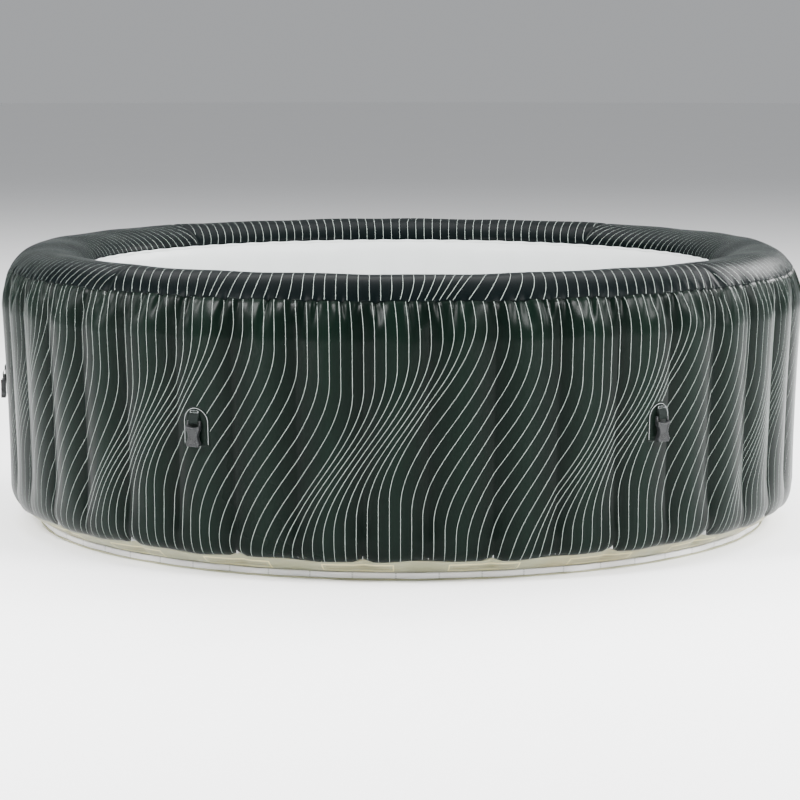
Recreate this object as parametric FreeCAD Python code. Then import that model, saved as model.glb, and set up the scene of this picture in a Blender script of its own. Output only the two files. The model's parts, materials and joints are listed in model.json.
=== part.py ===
import FreeCAD, Part
import math
import os
from FreeCAD import Vector

os.makedirs("parts", exist_ok=True)

# Inflatable hot tub for six people, in millimetres.
# +Z is up. The origin is on the tub's axis, on the floor under the mat.
# Angles are bearings about +Z: 0 is the front (-Y), 90 is +X, 180 is the back (+Y).
# A fitting in the wall is built at the back, with +Y pointing out of the tub, and then turned.

# ---- driving dimensions -------------------------------------------------
TUB_HEIGHT = 700.0
SHOULDER_RADIUS = 1028.0        # widest place, just under the rim
SHOULDER_HEIGHT = 557.0
CREST_RADIUS = 924.0            # highest ring of the rim
OUTER_SEAM_HEIGHT = 648.0       # weld between the wall skin and the rim skin
INNER_SEAM_RADIUS = 816.0       # weld between the rim skin and the white liner
INNER_SEAM_HEIGHT = 642.0
LINER_RADIUS = 800.0
WALL_FOOT_RADIUS = 1013.0
WALL_FOOT_HEIGHT = 110.0
BASE_SEAM_RADIUS = 983.0        # weld between the wall skin and the pale base skin
BASE_SEAM_HEIGHT = 51.0
STRIP_RADIUS = 936.0            # white weld strip round the foot
STRIP_TOP = 18.0
STRIP_THICKNESS = 4.0
SKIN = 2.0
MAT_RADIUS = 938.0
MAT_THICKNESS = 4.0
CELLS = 42                      # air cells between the internal webs
CELL_ANGLE = 360.0 / CELLS
WEB_PHASE = 3.5                 # bearing of the first web
WEB_THICKNESS = 1.0
WEB_OUTER_RADIUS = 996.0
WEB_BOTTOM = 60.0
WEB_TOP = 600.0
LEAD_IN_HEIGHT = 82.0           # height over which the liner curves out to its rim seam
LEAD_IN_BOTTOM = INNER_SEAM_HEIGHT - LEAD_IN_HEIGHT
RIM_JOINTS = [-43.0, 48.5, 141.0, 224.0]
BUCKLE_BEARINGS = [-27.4, 35.8, 93.5, 153.5, 213.5, 273.5]

# ---- cover buckle, hanging from a webbing loop on a welded patch ---------
PATCH_WIDTH = 74.0
PATCH_BOTTOM = 306.0
PATCH_TOP = 398.0
PATCH_THICKNESS = 1.5
STRAP_WIDTH = 25.0
STRAP_THICKNESS = 1.5
STRAP_TOP = 390.0
BAR_HEIGHT = 362.0
BAR_RADIUS = 2.2
LOOP_RADIUS = 2.7               # inside of the webbing loop
BUCKLE_WIDTH = 36.0
BUCKLE_WAIST = 25.0
BUCKLE_TOP = 354.0
BUCKLE_BOTTOM = 306.0
BUCKLE_THICKNESS = 12.0
MOUTH_WIDTH = 28.0
MOUTH_THICKNESS = 7.0
MOUTH_DEPTH = 34.0

# ---- control unit in the back wall ---------------------------------------
UNIT_HALF_WIDTH = 200.0
UNIT_BOTTOM = 120.0
UNIT_TOP = 500.0
UNIT_FRONT = 822.0
UNIT_WALL = 3.0
FLANGE_LAP = 15.0
CORNER_RADIUS = 30.0            # corners of the cover and of the flange behind it
FLANGE_RADIUS = 1024.0          # outside of the housing's flange
FLANGE_THICKNESS = 6.0
COVER_THICKNESS = 4.0
COVER_RADIUS = FLANGE_RADIUS + COVER_THICKNESS
COVER_LAP = 13.0
SCREW_HOLE_RADIUS = 2.0
WALL_REACH = 1100.0             # a cutter to this radius goes right through the wall
FACE_BACK = 782.0               # wet face plate inside the liner
FACE_THICKNESS = 10.0
FACE_FRONT = FACE_BACK - FACE_THICKNESS

PUMP_X = -95.0
PUMP_Z = 230.0
PUMP_RADIUS = 50.0
PUMP_FRONT = 836.0
PUMP_DEPTH = 44.0
SHAFT_RADIUS = 5.0
MOTOR_RADIUS = 45.0
MOTOR_FRONT = 885.0
MOTOR_BACK = 970.0
HEATER_Z = 420.0
HEATER_Y = 870.0
HEATER_RADIUS = 24.0
PIPE_RADIUS = 16.0
PIPE_BORE = 13.0
RETURN_X = 120.0
RETURN_Z = 330.0
BLOWER_X = 75.0
BLOWER_Z = 200.0
BLOWER_RADIUS = 58.0
BLOWER_FRONT = 880.0
BLOWER_BACK = 985.0
FILTER_RADIUS = 58.0
FILTER_LENGTH = 104.0
UNIT_PIPES = [(PUMP_X, PUMP_Z), (RETURN_X, RETURN_Z), (BLOWER_X, BLOWER_Z)]

# ---- fittings ------------------------------------------------------------
VALVE_BEARING = WEB_PHASE + 23.5 * CELL_ANGLE
VALVE_HEIGHT = 300.0
VALVE_FLANGE_RADIUS = 28.0
RELIEF_BEARING = WEB_PHASE + 22.5 * CELL_ANGLE
RELIEF_HEIGHT = 430.0
RELIEF_FLANGE_RADIUS = 18.0
DRAIN_BEARING = WEB_PHASE + 18.5 * CELL_ANGLE
DRAIN_HEIGHT = 80.0
DRAIN_THREAD_RADIUS = 13.2
VALVE_BODY_RADIUS = 18.0
RELIEF_BODY_RADIUS = 10.0
DRAIN_SLEEVE_RADIUS = 14.0
HOSE_PORT_RADIUS = 19.0
HOSE_PORT_BORE = 15.0
HOSE_PORT_SHANK = 21.0          # behind the collar, through the cover
SOCKET_SHANK = 13.0
GLAND_SHANK = 8.0
PORT_HEIGHT = 430.0
HOSE_PORT_ANGLE = -7.0
SOCKET_ANGLE = 3.0
GLAND_ANGLE = 7.5
GLAND_BORE_RADIUS = 4.5
UP = Vector(0, 0, 1)
RIGHT = Vector(1, 0, 0)
OUT = Vector(0, 1, 0)
ORIGIN = Vector(0, 0, 0)


def save(name, shape):
    shape.exportStep("parts/%s.step" % name)


def turned(shape, bearing):
    """A shape built at the back of the tub, turned to a bearing."""
    copy = shape.copy()
    copy.rotate(ORIGIN, UP, bearing - 180.0)
    return copy


def box(x0, x1, y0, y1, z0, z1):
    return Part.makeBox(x1 - x0, y1 - y0, z1 - z0, Vector(x0, y0, z0))


def rod(radius, x, z, y0, y1):
    """A round bar that points out of the tub."""
    return Part.makeCylinder(radius, y1 - y0, Vector(x, y0, z), OUT)


def pipe(outer, bore, x, z, y0, y1):
    return rod(outer, x, z, y0, y1).cut(rod(bore, x, z, y0, y1))


def bar(radius, x0, x1, y, z):
    """A round bar along X."""
    return Part.makeCylinder(radius, x1 - x0, Vector(x0, y, z), RIGHT)


def post(radius, x, y, z0, z1):
    """A round bar along Z."""
    return Part.makeCylinder(radius, z1 - z0, Vector(x, y, z0), UP)


def joined(first, *others):
    return first.multiFuse(list(others)).removeSplitter()


# ---- outlines of the soft skins, as radius and height ---------------------
def wall_radius(height):
    """Radius of the wall's bulges between its foot and its shoulder."""
    share = (height - WALL_FOOT_HEIGHT) / (SHOULDER_HEIGHT - WALL_FOOT_HEIGHT)
    return WALL_FOOT_RADIUS + (SHOULDER_RADIUS - WALL_FOOT_RADIUS) * share ** 1.6


def smooth(points):
    curve = Part.BSplineCurve()
    curve.interpolate([Vector(radius, 0, height) for radius, height in points])
    return curve.toShape()


def arc_points(centre, semi_axes, start, end, count=9):
    points = []
    for step in range(count):
        angle = math.radians(start + (end - start) * step / (count - 1))
        radius = centre[0] + semi_axes[0] * math.cos(angle)
        points.append((radius, centre[1] + semi_axes[1] * math.sin(angle)))
    return points


def shoulder_points(start, end, inset):
    semi_axes = (SHOULDER_RADIUS - CREST_RADIUS - inset, TUB_HEIGHT - SHOULDER_HEIGHT - inset)
    return arc_points((CREST_RADIUS, SHOULDER_HEIGHT), semi_axes, start, end)


def inner_rim_points(start, end, inset):
    semi_axes = (CREST_RADIUS - INNER_SEAM_RADIUS - inset, TUB_HEIGHT - INNER_SEAM_HEIGHT - inset)
    return arc_points((CREST_RADIUS, INNER_SEAM_HEIGHT), semi_axes, start, end)


SEAM_RISE = (OUTER_SEAM_HEIGHT - SHOULDER_HEIGHT) / (TUB_HEIGHT - SHOULDER_HEIGHT)
SEAM_ANGLE = math.degrees(math.asin(SEAM_RISE))


def wall_curves(inset):
    foot = []
    for step in range(7):
        turn = math.radians(15.0 * step)
        radius = BASE_SEAM_RADIUS + (WALL_FOOT_RADIUS - BASE_SEAM_RADIUS - inset) * math.sin(turn)
        drop = (WALL_FOOT_HEIGHT - BASE_SEAM_HEIGHT - inset) * math.cos(turn)
        foot.append((radius, WALL_FOOT_HEIGHT - drop))
    side = []
    for step in range(7):
        height = WALL_FOOT_HEIGHT + (SHOULDER_HEIGHT - WALL_FOOT_HEIGHT) * step / 6.0
        side.append((wall_radius(height) - inset, height))
    return [foot, side, shoulder_points(0, SEAM_ANGLE, inset)]


def rim_curves(inset):
    return [shoulder_points(SEAM_ANGLE, 90, inset), inner_rim_points(90, 180, inset)]


def skin(outer, inner, start=0.0, sweep=360.0):
    """Revolve the band between two lists of curves about the tub's axis."""
    edges = [smooth(points) for points in outer]
    edges += [smooth(points) for points in inner]
    ends = [(outer[0][0], inner[0][0]), (outer[-1][-1], inner[-1][-1])]
    for first, second in ends:
        edges.append(Part.makeLine(Vector(first[0], 0, first[1]), Vector(second[0], 0, second[1])))
    face = Part.Face(Part.Wire(Part.__sortEdges__(edges)))
    # the outline is drawn on +X, which is bearing 90
    face.rotate(ORIGIN, UP, start - 90.0)
    return face.revolve(ORIGIN, UP, sweep)


def ring(inner_radius, outer_radius, bottom, top):
    blank = Part.makeCylinder(outer_radius, top - bottom, Vector(0, 0, bottom))
    return blank.cut(Part.makeCylinder(inner_radius, top - bottom, Vector(0, 0, bottom)))


# ---- soft shell ----------------------------------------------------------
def rounded_block(half_width, y0, y1, bottom, top, corner):
    """A block with its four edges along Y rounded."""
    block = box(-half_width, half_width, y0, y1, bottom, top)
    along_y = [edge for edge in block.Edges if abs(edge.tangentAt(edge.FirstParameter).y) > 0.9]
    return block.makeFillet(corner, along_y)


def unit_envelope():
    """The space that the control unit takes out of the wall."""
    return rounded_block(UNIT_HALF_WIDTH + FLANGE_LAP, UNIT_FRONT - 2, WALL_REACH,
                         UNIT_BOTTOM - FLANGE_LAP, UNIT_TOP + FLANGE_LAP, CORNER_RADIUS)


def make_outer_wall():
    holes = [
        unit_envelope(),
        turned(rod(VALVE_BODY_RADIUS, 0, VALVE_HEIGHT, 960, 1060), VALVE_BEARING),
        turned(rod(RELIEF_BODY_RADIUS, 0, RELIEF_HEIGHT, 900, 1060), RELIEF_BEARING),
        turned(rod(DRAIN_SLEEVE_RADIUS, 0, DRAIN_HEIGHT, 900, 1060), DRAIN_BEARING),
    ]
    save("outer_wall", skin(wall_curves(0), wall_curves(SKIN)).cut(Part.makeCompound(holes)))


def make_rim_panels():
    for index, start in enumerate(RIM_JOINTS):
        end = RIM_JOINTS[(index + 1) % len(RIM_JOINTS)]
        sweep = (end - start) % 360.0
        save("rim_panel_%d" % (index + 1), skin(rim_curves(0), rim_curves(SKIN), start, sweep))


def make_seams():
    """The weld beads stand on the skins, with a small gap under them."""
    half_band = 2.0
    under = -0.1
    over = -1.3
    outer_band = (SEAM_ANGLE - half_band, SEAM_ANGLE + half_band)
    inner_band = (173.0, 180.0)
    for name, line, band in (("outer_rim_seam", shoulder_points, outer_band),
                             ("inner_rim_seam", inner_rim_points, inner_band)):
        save(name, skin([line(*band, over)], [line(*band, under)]))


def liner_points(inset):
    lead_in = []
    for step in range(7):
        turn = math.radians(15.0 * step)
        radius = LINER_RADIUS + (INNER_SEAM_RADIUS - LINER_RADIUS) * (1 - math.sin(turn)) + inset
        lead_in.append((radius, INNER_SEAM_HEIGHT - LEAD_IN_HEIGHT * (1 - math.cos(turn))))
    return lead_in


def make_liner():
    foot = MAT_THICKNESS + SKIN
    air_radius = LINER_RADIUS + SKIN
    water_side = [liner_points(0), [(LINER_RADIUS, LEAD_IN_BOTTOM), (LINER_RADIUS, foot)]]
    air_side = [liner_points(SKIN), [(air_radius, LEAD_IN_BOTTOM), (air_radius, foot)]]
    holes = [rod(PIPE_RADIUS, x, z, 700, 900) for x, z in UNIT_PIPES]
    holes.append(turned(rod(DRAIN_SLEEVE_RADIUS, 0, DRAIN_HEIGHT, 700, 900), DRAIN_BEARING))
    save("inner_liner_wall", skin(water_side, air_side).cut(Part.makeCompound(holes)))


def make_base():
    inside = STRIP_RADIUS - STRIP_THICKNESS
    under = [[(BASE_SEAM_RADIUS, BASE_SEAM_HEIGHT), (inside, STRIP_TOP)]]
    above = [[(BASE_SEAM_RADIUS, BASE_SEAM_HEIGHT + SKIN), (inside, STRIP_TOP + SKIN)]]
    save("base_skin", skin(under, above))
    save("base_weld_strip", ring(inside, STRIP_RADIUS, MAT_THICKNESS, STRIP_TOP))
    save("floor_sheet", Part.makeCylinder(inside, SKIN, Vector(0, 0, MAT_THICKNESS)))
    save("ground_mat", Part.makeCylinder(MAT_RADIUS, MAT_THICKNESS))


def make_webs():
    """Upright webs between the liner and the wall, cut off where the control unit stands."""
    inner = LINER_RADIUS + SKIN
    half = WEB_THICKNESS / 2.0
    outline = [(inner, WEB_BOTTOM), (WEB_OUTER_RADIUS, WEB_BOTTOM), (WEB_OUTER_RADIUS, WEB_TOP),
               (inner + 3.0, WEB_TOP), (inner, LEAD_IN_BOTTOM - 4.0), (inner, WEB_BOTTOM)]
    face = Part.Face(Part.makePolygon([Vector(-half, radius, height) for radius, height in outline]))
    blank = face.extrude(Vector(WEB_THICKNESS, 0, 0))
    clearance = 1.0
    cutters = [rod(PIPE_RADIUS + clearance, x, z, 700, 900) for x, z in UNIT_PIPES]
    cutters = Part.makeCompound([unit_envelope()] + cutters)
    webs = []
    for index in range(CELLS):
        webs += turned(blank, WEB_PHASE + index * CELL_ANGLE).cut(cutters).Solids
    save("wall_webs", Part.makeCompound(webs))


def make_bubble_ring():
    """Air channel round the foot of the liner, with jet holes and a riser to the control unit."""
    inner = LINER_RADIUS - 32.0
    top = 40.0
    bottom = MAT_THICKNESS + SKIN
    wall = 2.0
    jet_radius = 1.5
    jet_height = 28.0
    duct = ring(inner, LINER_RADIUS, bottom, top)
    duct = duct.cut(ring(inner + wall, LINER_RADIUS - wall, bottom + wall, top - wall))
    half = 20.0
    riser_top = UNIT_BOTTOM + 20
    riser = box(BLOWER_X - half, BLOWER_X + half, inner + wall, FACE_BACK, top - wall, riser_top)
    half = half - wall
    bore = box(BLOWER_X - half, BLOWER_X + half, inner + 2 * wall, FACE_BACK - wall, top - 3, riser_top)
    jets = []
    for index in range(36):
        jet = rod(jet_radius, 0, jet_height, inner - wall, inner + 2 * wall)
        jets.append(turned(jet, 5.0 + 10.0 * index))
    duct = duct.fuse(riser).cut(bore).cut(Part.makeCompound(jets))
    save("bubble_ring", duct.removeSplitter())


# ---- cover buckles -------------------------------------------------------
PATCH_GAP = 0.2
STRAP_BACK = wall_radius(STRAP_TOP) + PATCH_THICKNESS + PATCH_GAP
BAR_Y = STRAP_BACK + STRAP_THICKNESS + LOOP_RADIUS


def patch_shape():
    """Arch-topped patch, welded flat on one bulge of the wall."""
    heights = [PATCH_BOTTOM - 6 + 17.0 * step for step in range(7)]
    near = [[(wall_radius(height), height) for height in heights]]
    far = [[(radius + PATCH_THICKNESS, height) for radius, height in near[0]]]
    band = skin(far, near, 176.0, 8.0)
    half = PATCH_WIDTH / 2.0
    spring_line = PATCH_TOP - half
    outline = Part.makeCylinder(half, 60, Vector(0, 990, spring_line), OUT)
    outline = outline.fuse(box(-half, half, 990, 1050, PATCH_BOTTOM, spring_line))
    return band.common(outline)


def strap_shape():
    """Webbing loop: sewn down at the top, open round the buckle's bar at the bottom."""
    outer = LOOP_RADIUS + STRAP_THICKNESS
    lap = STRAP_BACK + 2 * STRAP_THICKNESS
    straight_top = BAR_HEIGHT + 8.0
    stitch_bottom = BAR_HEIGHT + 18.0
    lap_bottom = STRAP_TOP - 6.0

    def at(y, z):
        return Vector(-STRAP_WIDTH / 2.0, y, z)

    def loop(back, radius, *rest):
        """A U round the bar that starts on its back strand and is closed by the rest."""
        front = at(BAR_Y + radius, BAR_HEIGHT)
        bottom = Part.Arc(at(back, BAR_HEIGHT), at(BAR_Y, BAR_HEIGHT - radius), front)
        corners = [front] + list(rest) + [at(back, BAR_HEIGHT)]
        sides = [Part.makeLine(first, second) for first, second in zip(corners, corners[1:])]
        return Part.Face(Part.Wire([bottom.toShape()] + sides)).extrude(Vector(STRAP_WIDTH, 0, 0))

    blank = loop(STRAP_BACK, outer, at(BAR_Y + outer, straight_top), at(lap, lap_bottom),
                 at(lap, STRAP_TOP), at(STRAP_BACK, STRAP_TOP))
    inner_back = STRAP_BACK + STRAP_THICKNESS
    eye = loop(inner_back, LOOP_RADIUS, at(BAR_Y + LOOP_RADIUS, straight_top), at(inner_back, stitch_bottom))
    return blank.cut(eye)


def buckle_shape():
    """Socket half of a side-release buckle, with waisted sides and a bar for the webbing."""
    half = BUCKLE_WIDTH / 2.0
    waist = BUCKLE_WAIST / 2.0
    arm_radius = 3.0
    back = BAR_Y - arm_radius
    middle = (BUCKLE_TOP + BUCKLE_BOTTOM) / 2.0
    brow = BUCKLE_TOP - 4.0          # lowest point of the hollow top edge
    high = BUCKLE_TOP - 8.0          # where the waist starts and ends
    low = BUCKLE_BOTTOM + 8.0
    mouth_half = half - 3.0

    def at(x, z):
        return Vector(x, back, z)

    edges = [
        Part.Arc(at(-half, BUCKLE_TOP), at(0, brow), at(half, BUCKLE_TOP)).toShape(),
        Part.makeLine(at(half, BUCKLE_TOP), at(half, high)),
        Part.Arc(at(half, high), at(waist, middle), at(half, low)).toShape(),
        Part.makeLine(at(half, low), at(mouth_half, BUCKLE_BOTTOM)),
        Part.makeLine(at(mouth_half, BUCKLE_BOTTOM), at(-mouth_half, BUCKLE_BOTTOM)),
        Part.makeLine(at(-mouth_half, BUCKLE_BOTTOM), at(-half, low)),
        Part.Arc(at(-half, low), at(-waist, middle), at(-half, high)).toShape(),
        Part.makeLine(at(-half, high), at(-half, BUCKLE_TOP)),
    ]
    shell = Part.Face(Part.Wire(edges)).extrude(Vector(0, BUCKLE_THICKNESS, 0))
    mouth_back = back + (BUCKLE_THICKNESS - MOUTH_THICKNESS) / 2.0
    mouth = box(-MOUTH_WIDTH / 2.0, MOUTH_WIDTH / 2.0, mouth_back, mouth_back + MOUTH_THICKNESS,
                BUCKLE_BOTTOM - 1, BUCKLE_BOTTOM + MOUTH_DEPTH)
    arms = []
    for side in (-1, 1):
        inner = side * (STRAP_WIDTH / 2.0 + 1.0)
        outer = side * half
        x0, x1 = min(inner, outer), max(inner, outer)
        arms.append(box(x0, x1, back, BAR_Y + arm_radius, BUCKLE_TOP - 3, BAR_HEIGHT))
        arms.append(bar(arm_radius, x0, x1, BAR_Y, BAR_HEIGHT))
    cross_bar = bar(BAR_RADIUS, -half, half, BAR_Y, BAR_HEIGHT)
    return joined(shell.cut(mouth), cross_bar, *arms)


def make_buckles():
    patch = patch_shape()
    strap = strap_shape()
    buckle = buckle_shape()
    save("buckle_patches", Part.makeCompound([turned(patch, bearing) for bearing in BUCKLE_BEARINGS]))
    for index, bearing in enumerate(BUCKLE_BEARINGS):
        save("strap_loop_%d" % (index + 1), turned(strap, bearing))
        save("buckle_%d" % (index + 1), turned(buckle, bearing))


# ---- control unit --------------------------------------------------------
def curved_plate(inner_radius, thickness, half_width, bottom, top, corner):
    """A plate with rounded corners that is bent to a radius about the tub's axis."""
    shell = ring(inner_radius, inner_radius + thickness, bottom - 1, top + 1)
    return shell.common(rounded_block(half_width, 800, WALL_REACH, bottom, top, corner))


SCREW_BOTTOM = UNIT_BOTTOM + 20.0
SCREW_TOP = UNIT_TOP - 20.0


def screw_places():
    places = []
    angle = math.degrees(math.asin((UNIT_HALF_WIDTH + COVER_LAP / 2.0) / FLANGE_RADIUS))
    for side in (-1, 1):
        for step in range(4):
            height = SCREW_BOTTOM + step * (SCREW_TOP - SCREW_BOTTOM) / 3.0
            places.append((180.0 + side * angle, height))
    return places


def make_housing():
    outside = box(-UNIT_HALF_WIDTH, UNIT_HALF_WIDTH, UNIT_FRONT, WALL_REACH, UNIT_BOTTOM, UNIT_TOP)
    outside = outside.common(Part.makeCylinder(FLANGE_RADIUS, TUB_HEIGHT))
    flange = curved_plate(FLANGE_RADIUS - FLANGE_THICKNESS, FLANGE_THICKNESS, UNIT_HALF_WIDTH + FLANGE_LAP,
                          UNIT_BOTTOM - FLANGE_LAP, UNIT_TOP + FLANGE_LAP, CORNER_RADIUS)
    half = UNIT_HALF_WIDTH - UNIT_WALL
    inside = box(-half, half, UNIT_FRONT + UNIT_WALL, WALL_REACH,
                 UNIT_BOTTOM + UNIT_WALL, UNIT_TOP - UNIT_WALL)
    holes = [inside]
    for x, z in UNIT_PIPES:
        holes.append(rod(PIPE_RADIUS, x, z, UNIT_FRONT - 1, UNIT_FRONT + 10))
    for bearing, height in screw_places():
        holes.append(turned(rod(SCREW_HOLE_RADIUS, 0, height, 1000, 1040), bearing))
    save("unit_housing", outside.fuse(flange).cut(Part.makeCompound(holes)).removeSplitter())


GRILLE = (-150.0, -30.0, 150.0, 240.0)      # x and z limits of the air intake


def make_cover():
    plate = curved_plate(FLANGE_RADIUS, COVER_THICKNESS, UNIT_HALF_WIDTH + COVER_LAP,
                         UNIT_BOTTOM - COVER_LAP, UNIT_TOP + COVER_LAP, CORNER_RADIUS)
    holes = [box(GRILLE[0], GRILLE[1], 900, WALL_REACH, GRILLE[2], GRILLE[3])]
    for bearing, height in screw_places():
        holes.append(turned(rod(SCREW_HOLE_RADIUS, 0, height, 1000, 1040), bearing))
    shanks = ((HOSE_PORT_ANGLE, HOSE_PORT_SHANK), (SOCKET_ANGLE, SOCKET_SHANK), (GLAND_ANGLE, GLAND_SHANK))
    for angle, radius in shanks:
        holes.append(turned(rod(radius, 0, PORT_HEIGHT, 1000, 1050), 180.0 + angle))
    save("rear_cover", plate.cut(Part.makeCompound(holes)))

    head_radius = 4.5
    slot_half = 3.2
    slot_width = 1.0
    slot_floor = COVER_RADIUS + 1.2
    head_top = COVER_RADIUS + 2.4
    screws = []
    for bearing, height in screw_places():
        shank = rod(SCREW_HOLE_RADIUS, 0, height, FLANGE_RADIUS - FLANGE_THICKNESS, COVER_RADIUS)
        head = rod(head_radius, 0, height, COVER_RADIUS, head_top)
        narrow = slot_width / 2.0
        slot = box(-slot_half, slot_half, slot_floor, head_top, height - narrow, height + narrow)
        cross = box(-narrow, narrow, slot_floor, head_top, height - slot_half, height + slot_half)
        screws.append(turned(shank.fuse(head).cut(slot).cut(cross), bearing))
    save("cover_screws", Part.makeCompound(screws))

    border = 8.0
    pitch = 8.6
    slot_height = 4.0
    grille = ring(FLANGE_RADIUS, COVER_RADIUS, GRILLE[2], GRILLE[3])
    grille = grille.common(box(GRILLE[0], GRILLE[1], 900, WALL_REACH, GRILLE[2], GRILLE[3]))
    slots = []
    for step in range(9):
        bottom = GRILLE[2] + border + step * pitch
        slots.append(box(GRILLE[0] + border, GRILLE[1] - border, 900, WALL_REACH,
                         bottom, bottom + slot_height))
    save("intake_grille", grille.cut(Part.makeCompound(slots)))


def make_pump():
    back = PUMP_FRONT + PUMP_DEPTH
    volute = rod(PUMP_RADIUS, PUMP_X, PUMP_Z, PUMP_FRONT, back)
    outlet = post(PIPE_RADIUS, PUMP_X - 20, HEATER_Y - 12, PUMP_Z, PUMP_Z + 60)
    chamber = rod(PUMP_RADIUS - 4, PUMP_X, PUMP_Z, PUMP_FRONT + 4, back - 4)
    outlet_bore = post(PIPE_BORE, PUMP_X - 20, HEATER_Y - 12, PUMP_Z, PUMP_Z + 60)
    inlet = rod(PIPE_BORE, PUMP_X, PUMP_Z, PUMP_FRONT, PUMP_FRONT + 4)
    shaft_hole = rod(SHAFT_RADIUS + 0.5, PUMP_X, PUMP_Z, back - 4, back)
    spaces = Part.makeCompound([chamber, outlet_bore, inlet, shaft_hole])
    save("pump_volute", volute.fuse(outlet).cut(spaces))

    motor = rod(MOTOR_RADIUS, PUMP_X, PUMP_Z, MOTOR_FRONT, MOTOR_BACK)
    bearing = rod(SHAFT_RADIUS + 0.05, PUMP_X, PUMP_Z, back, MOTOR_FRONT + 50)
    neck = rod(20, PUMP_X, PUMP_Z, back, MOTOR_FRONT)
    foot = box(PUMP_X - 35, PUMP_X + 35, MOTOR_FRONT + 5, MOTOR_BACK - 5,
               UNIT_BOTTOM + UNIT_WALL, PUMP_Z - 30)
    save("pump_motor", joined(motor, neck, foot).cut(bearing))

    hub = rod(9, PUMP_X, PUMP_Z, PUMP_FRONT + 8, PUMP_FRONT + 34)
    disc = rod(36, PUMP_X, PUMP_Z, PUMP_FRONT + 31, PUMP_FRONT + 34)
    shaft = rod(SHAFT_RADIUS, PUMP_X, PUMP_Z, PUMP_FRONT + 34, MOTOR_FRONT + 46)
    blades = []
    for index in range(6):
        blade = box(PUMP_X + 7, PUMP_X + 35, PUMP_FRONT + 12, PUMP_FRONT + 32, PUMP_Z - 1, PUMP_Z + 1)
        blade.rotate(Vector(PUMP_X, 0, PUMP_Z), OUT, 60.0 * index)
        blades.append(blade)
    save("pump_impeller", joined(hub, disc, shaft, *blades))


def make_water_pipes():
    left = PUMP_X - 20
    y = HEATER_Y - 12
    riser = post(PIPE_RADIUS, left, y, PUMP_Z + 60, HEATER_Z - HEATER_RADIUS)
    save("discharge_pipe", riser.cut(post(PIPE_BORE, left, y, PUMP_Z + 60, HEATER_Z - HEATER_RADIUS)))

    ends = (left - 24, RETURN_X + 24)
    tube = bar(HEATER_RADIUS, ends[0], ends[1], y, HEATER_Z)
    bore = bar(HEATER_RADIUS - 1.5, ends[0] + 1.5, ends[1] - 1.5, y, HEATER_Z)
    ports = [post(PIPE_BORE, x, y, HEATER_Z - HEATER_RADIUS - 1, HEATER_Z) for x in (left, RETURN_X)]
    stubs = [post(PIPE_RADIUS, x, y, HEATER_Z - HEATER_RADIUS, HEATER_Z) for x in (left, RETURN_X)]
    save("heater_tube", joined(tube, *stubs).cut(Part.makeCompound([bore] + ports)))
    coil = bar(4, ends[0] + 6, ends[1] - 6, y, HEATER_Z)
    save("heater_element", coil)

    down = post(PIPE_RADIUS, RETURN_X, y, RETURN_Z, HEATER_Z - HEATER_RADIUS)
    elbow = Part.makeSphere(PIPE_RADIUS, Vector(RETURN_X, y, RETURN_Z))
    ahead = rod(PIPE_RADIUS, RETURN_X, RETURN_Z, FACE_BACK, y)
    bores = [
        post(PIPE_BORE, RETURN_X, y, RETURN_Z, HEATER_Z - HEATER_RADIUS),
        Part.makeSphere(PIPE_BORE, Vector(RETURN_X, y, RETURN_Z)),
        rod(PIPE_BORE, RETURN_X, RETURN_Z, FACE_BACK, y),
    ]
    save("return_pipe", joined(down, elbow, ahead).cut(Part.makeCompound(bores)))
    save("suction_pipe", pipe(PIPE_RADIUS, PIPE_BORE, PUMP_X, PUMP_Z, FACE_BACK, PUMP_FRONT))
    save("air_pipe", pipe(PIPE_RADIUS, PIPE_BORE, BLOWER_X, BLOWER_Z, FACE_BACK, BLOWER_FRONT))


def make_blower():
    case = rod(BLOWER_RADIUS, BLOWER_X, BLOWER_Z, BLOWER_FRONT, BLOWER_BACK)
    chamber = rod(BLOWER_RADIUS - 3, BLOWER_X, BLOWER_Z, BLOWER_FRONT + 3, BLOWER_BACK - 25)
    inlet = rod(PIPE_BORE, BLOWER_X, BLOWER_Z, BLOWER_FRONT, BLOWER_FRONT + 3)
    spindle = rod(4.05, BLOWER_X, BLOWER_Z, BLOWER_BACK - 25, BLOWER_BACK - 5)
    vent = rod(20, BLOWER_X - 30, BLOWER_Z, BLOWER_BACK - 25, BLOWER_BACK)
    foot = box(BLOWER_X - 30, BLOWER_X + 30, BLOWER_FRONT + 5, BLOWER_BACK - 5,
               UNIT_BOTTOM + UNIT_WALL, BLOWER_Z - 45)
    save("blower_case", joined(case, foot).cut(Part.makeCompound([chamber, inlet, spindle, vent])))

    hub = rod(8, BLOWER_X, BLOWER_Z, BLOWER_FRONT + 10, BLOWER_BACK - 30)
    plate = rod(50, BLOWER_X, BLOWER_Z, BLOWER_BACK - 32, BLOWER_BACK - 30)
    shaft = rod(4, BLOWER_X, BLOWER_Z, BLOWER_BACK - 30, BLOWER_BACK - 8)
    blades = []
    for index in range(12):
        blade = box(BLOWER_X + 30, BLOWER_X + 49, BLOWER_FRONT + 14, BLOWER_BACK - 31,
                    BLOWER_Z - 0.8, BLOWER_Z + 0.8)
        blade.rotate(Vector(BLOWER_X, 0, BLOWER_Z), OUT, 30.0 * index)
        blades.append(blade)
    save("blower_fan", joined(hub, plate, shaft, *blades))


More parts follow.
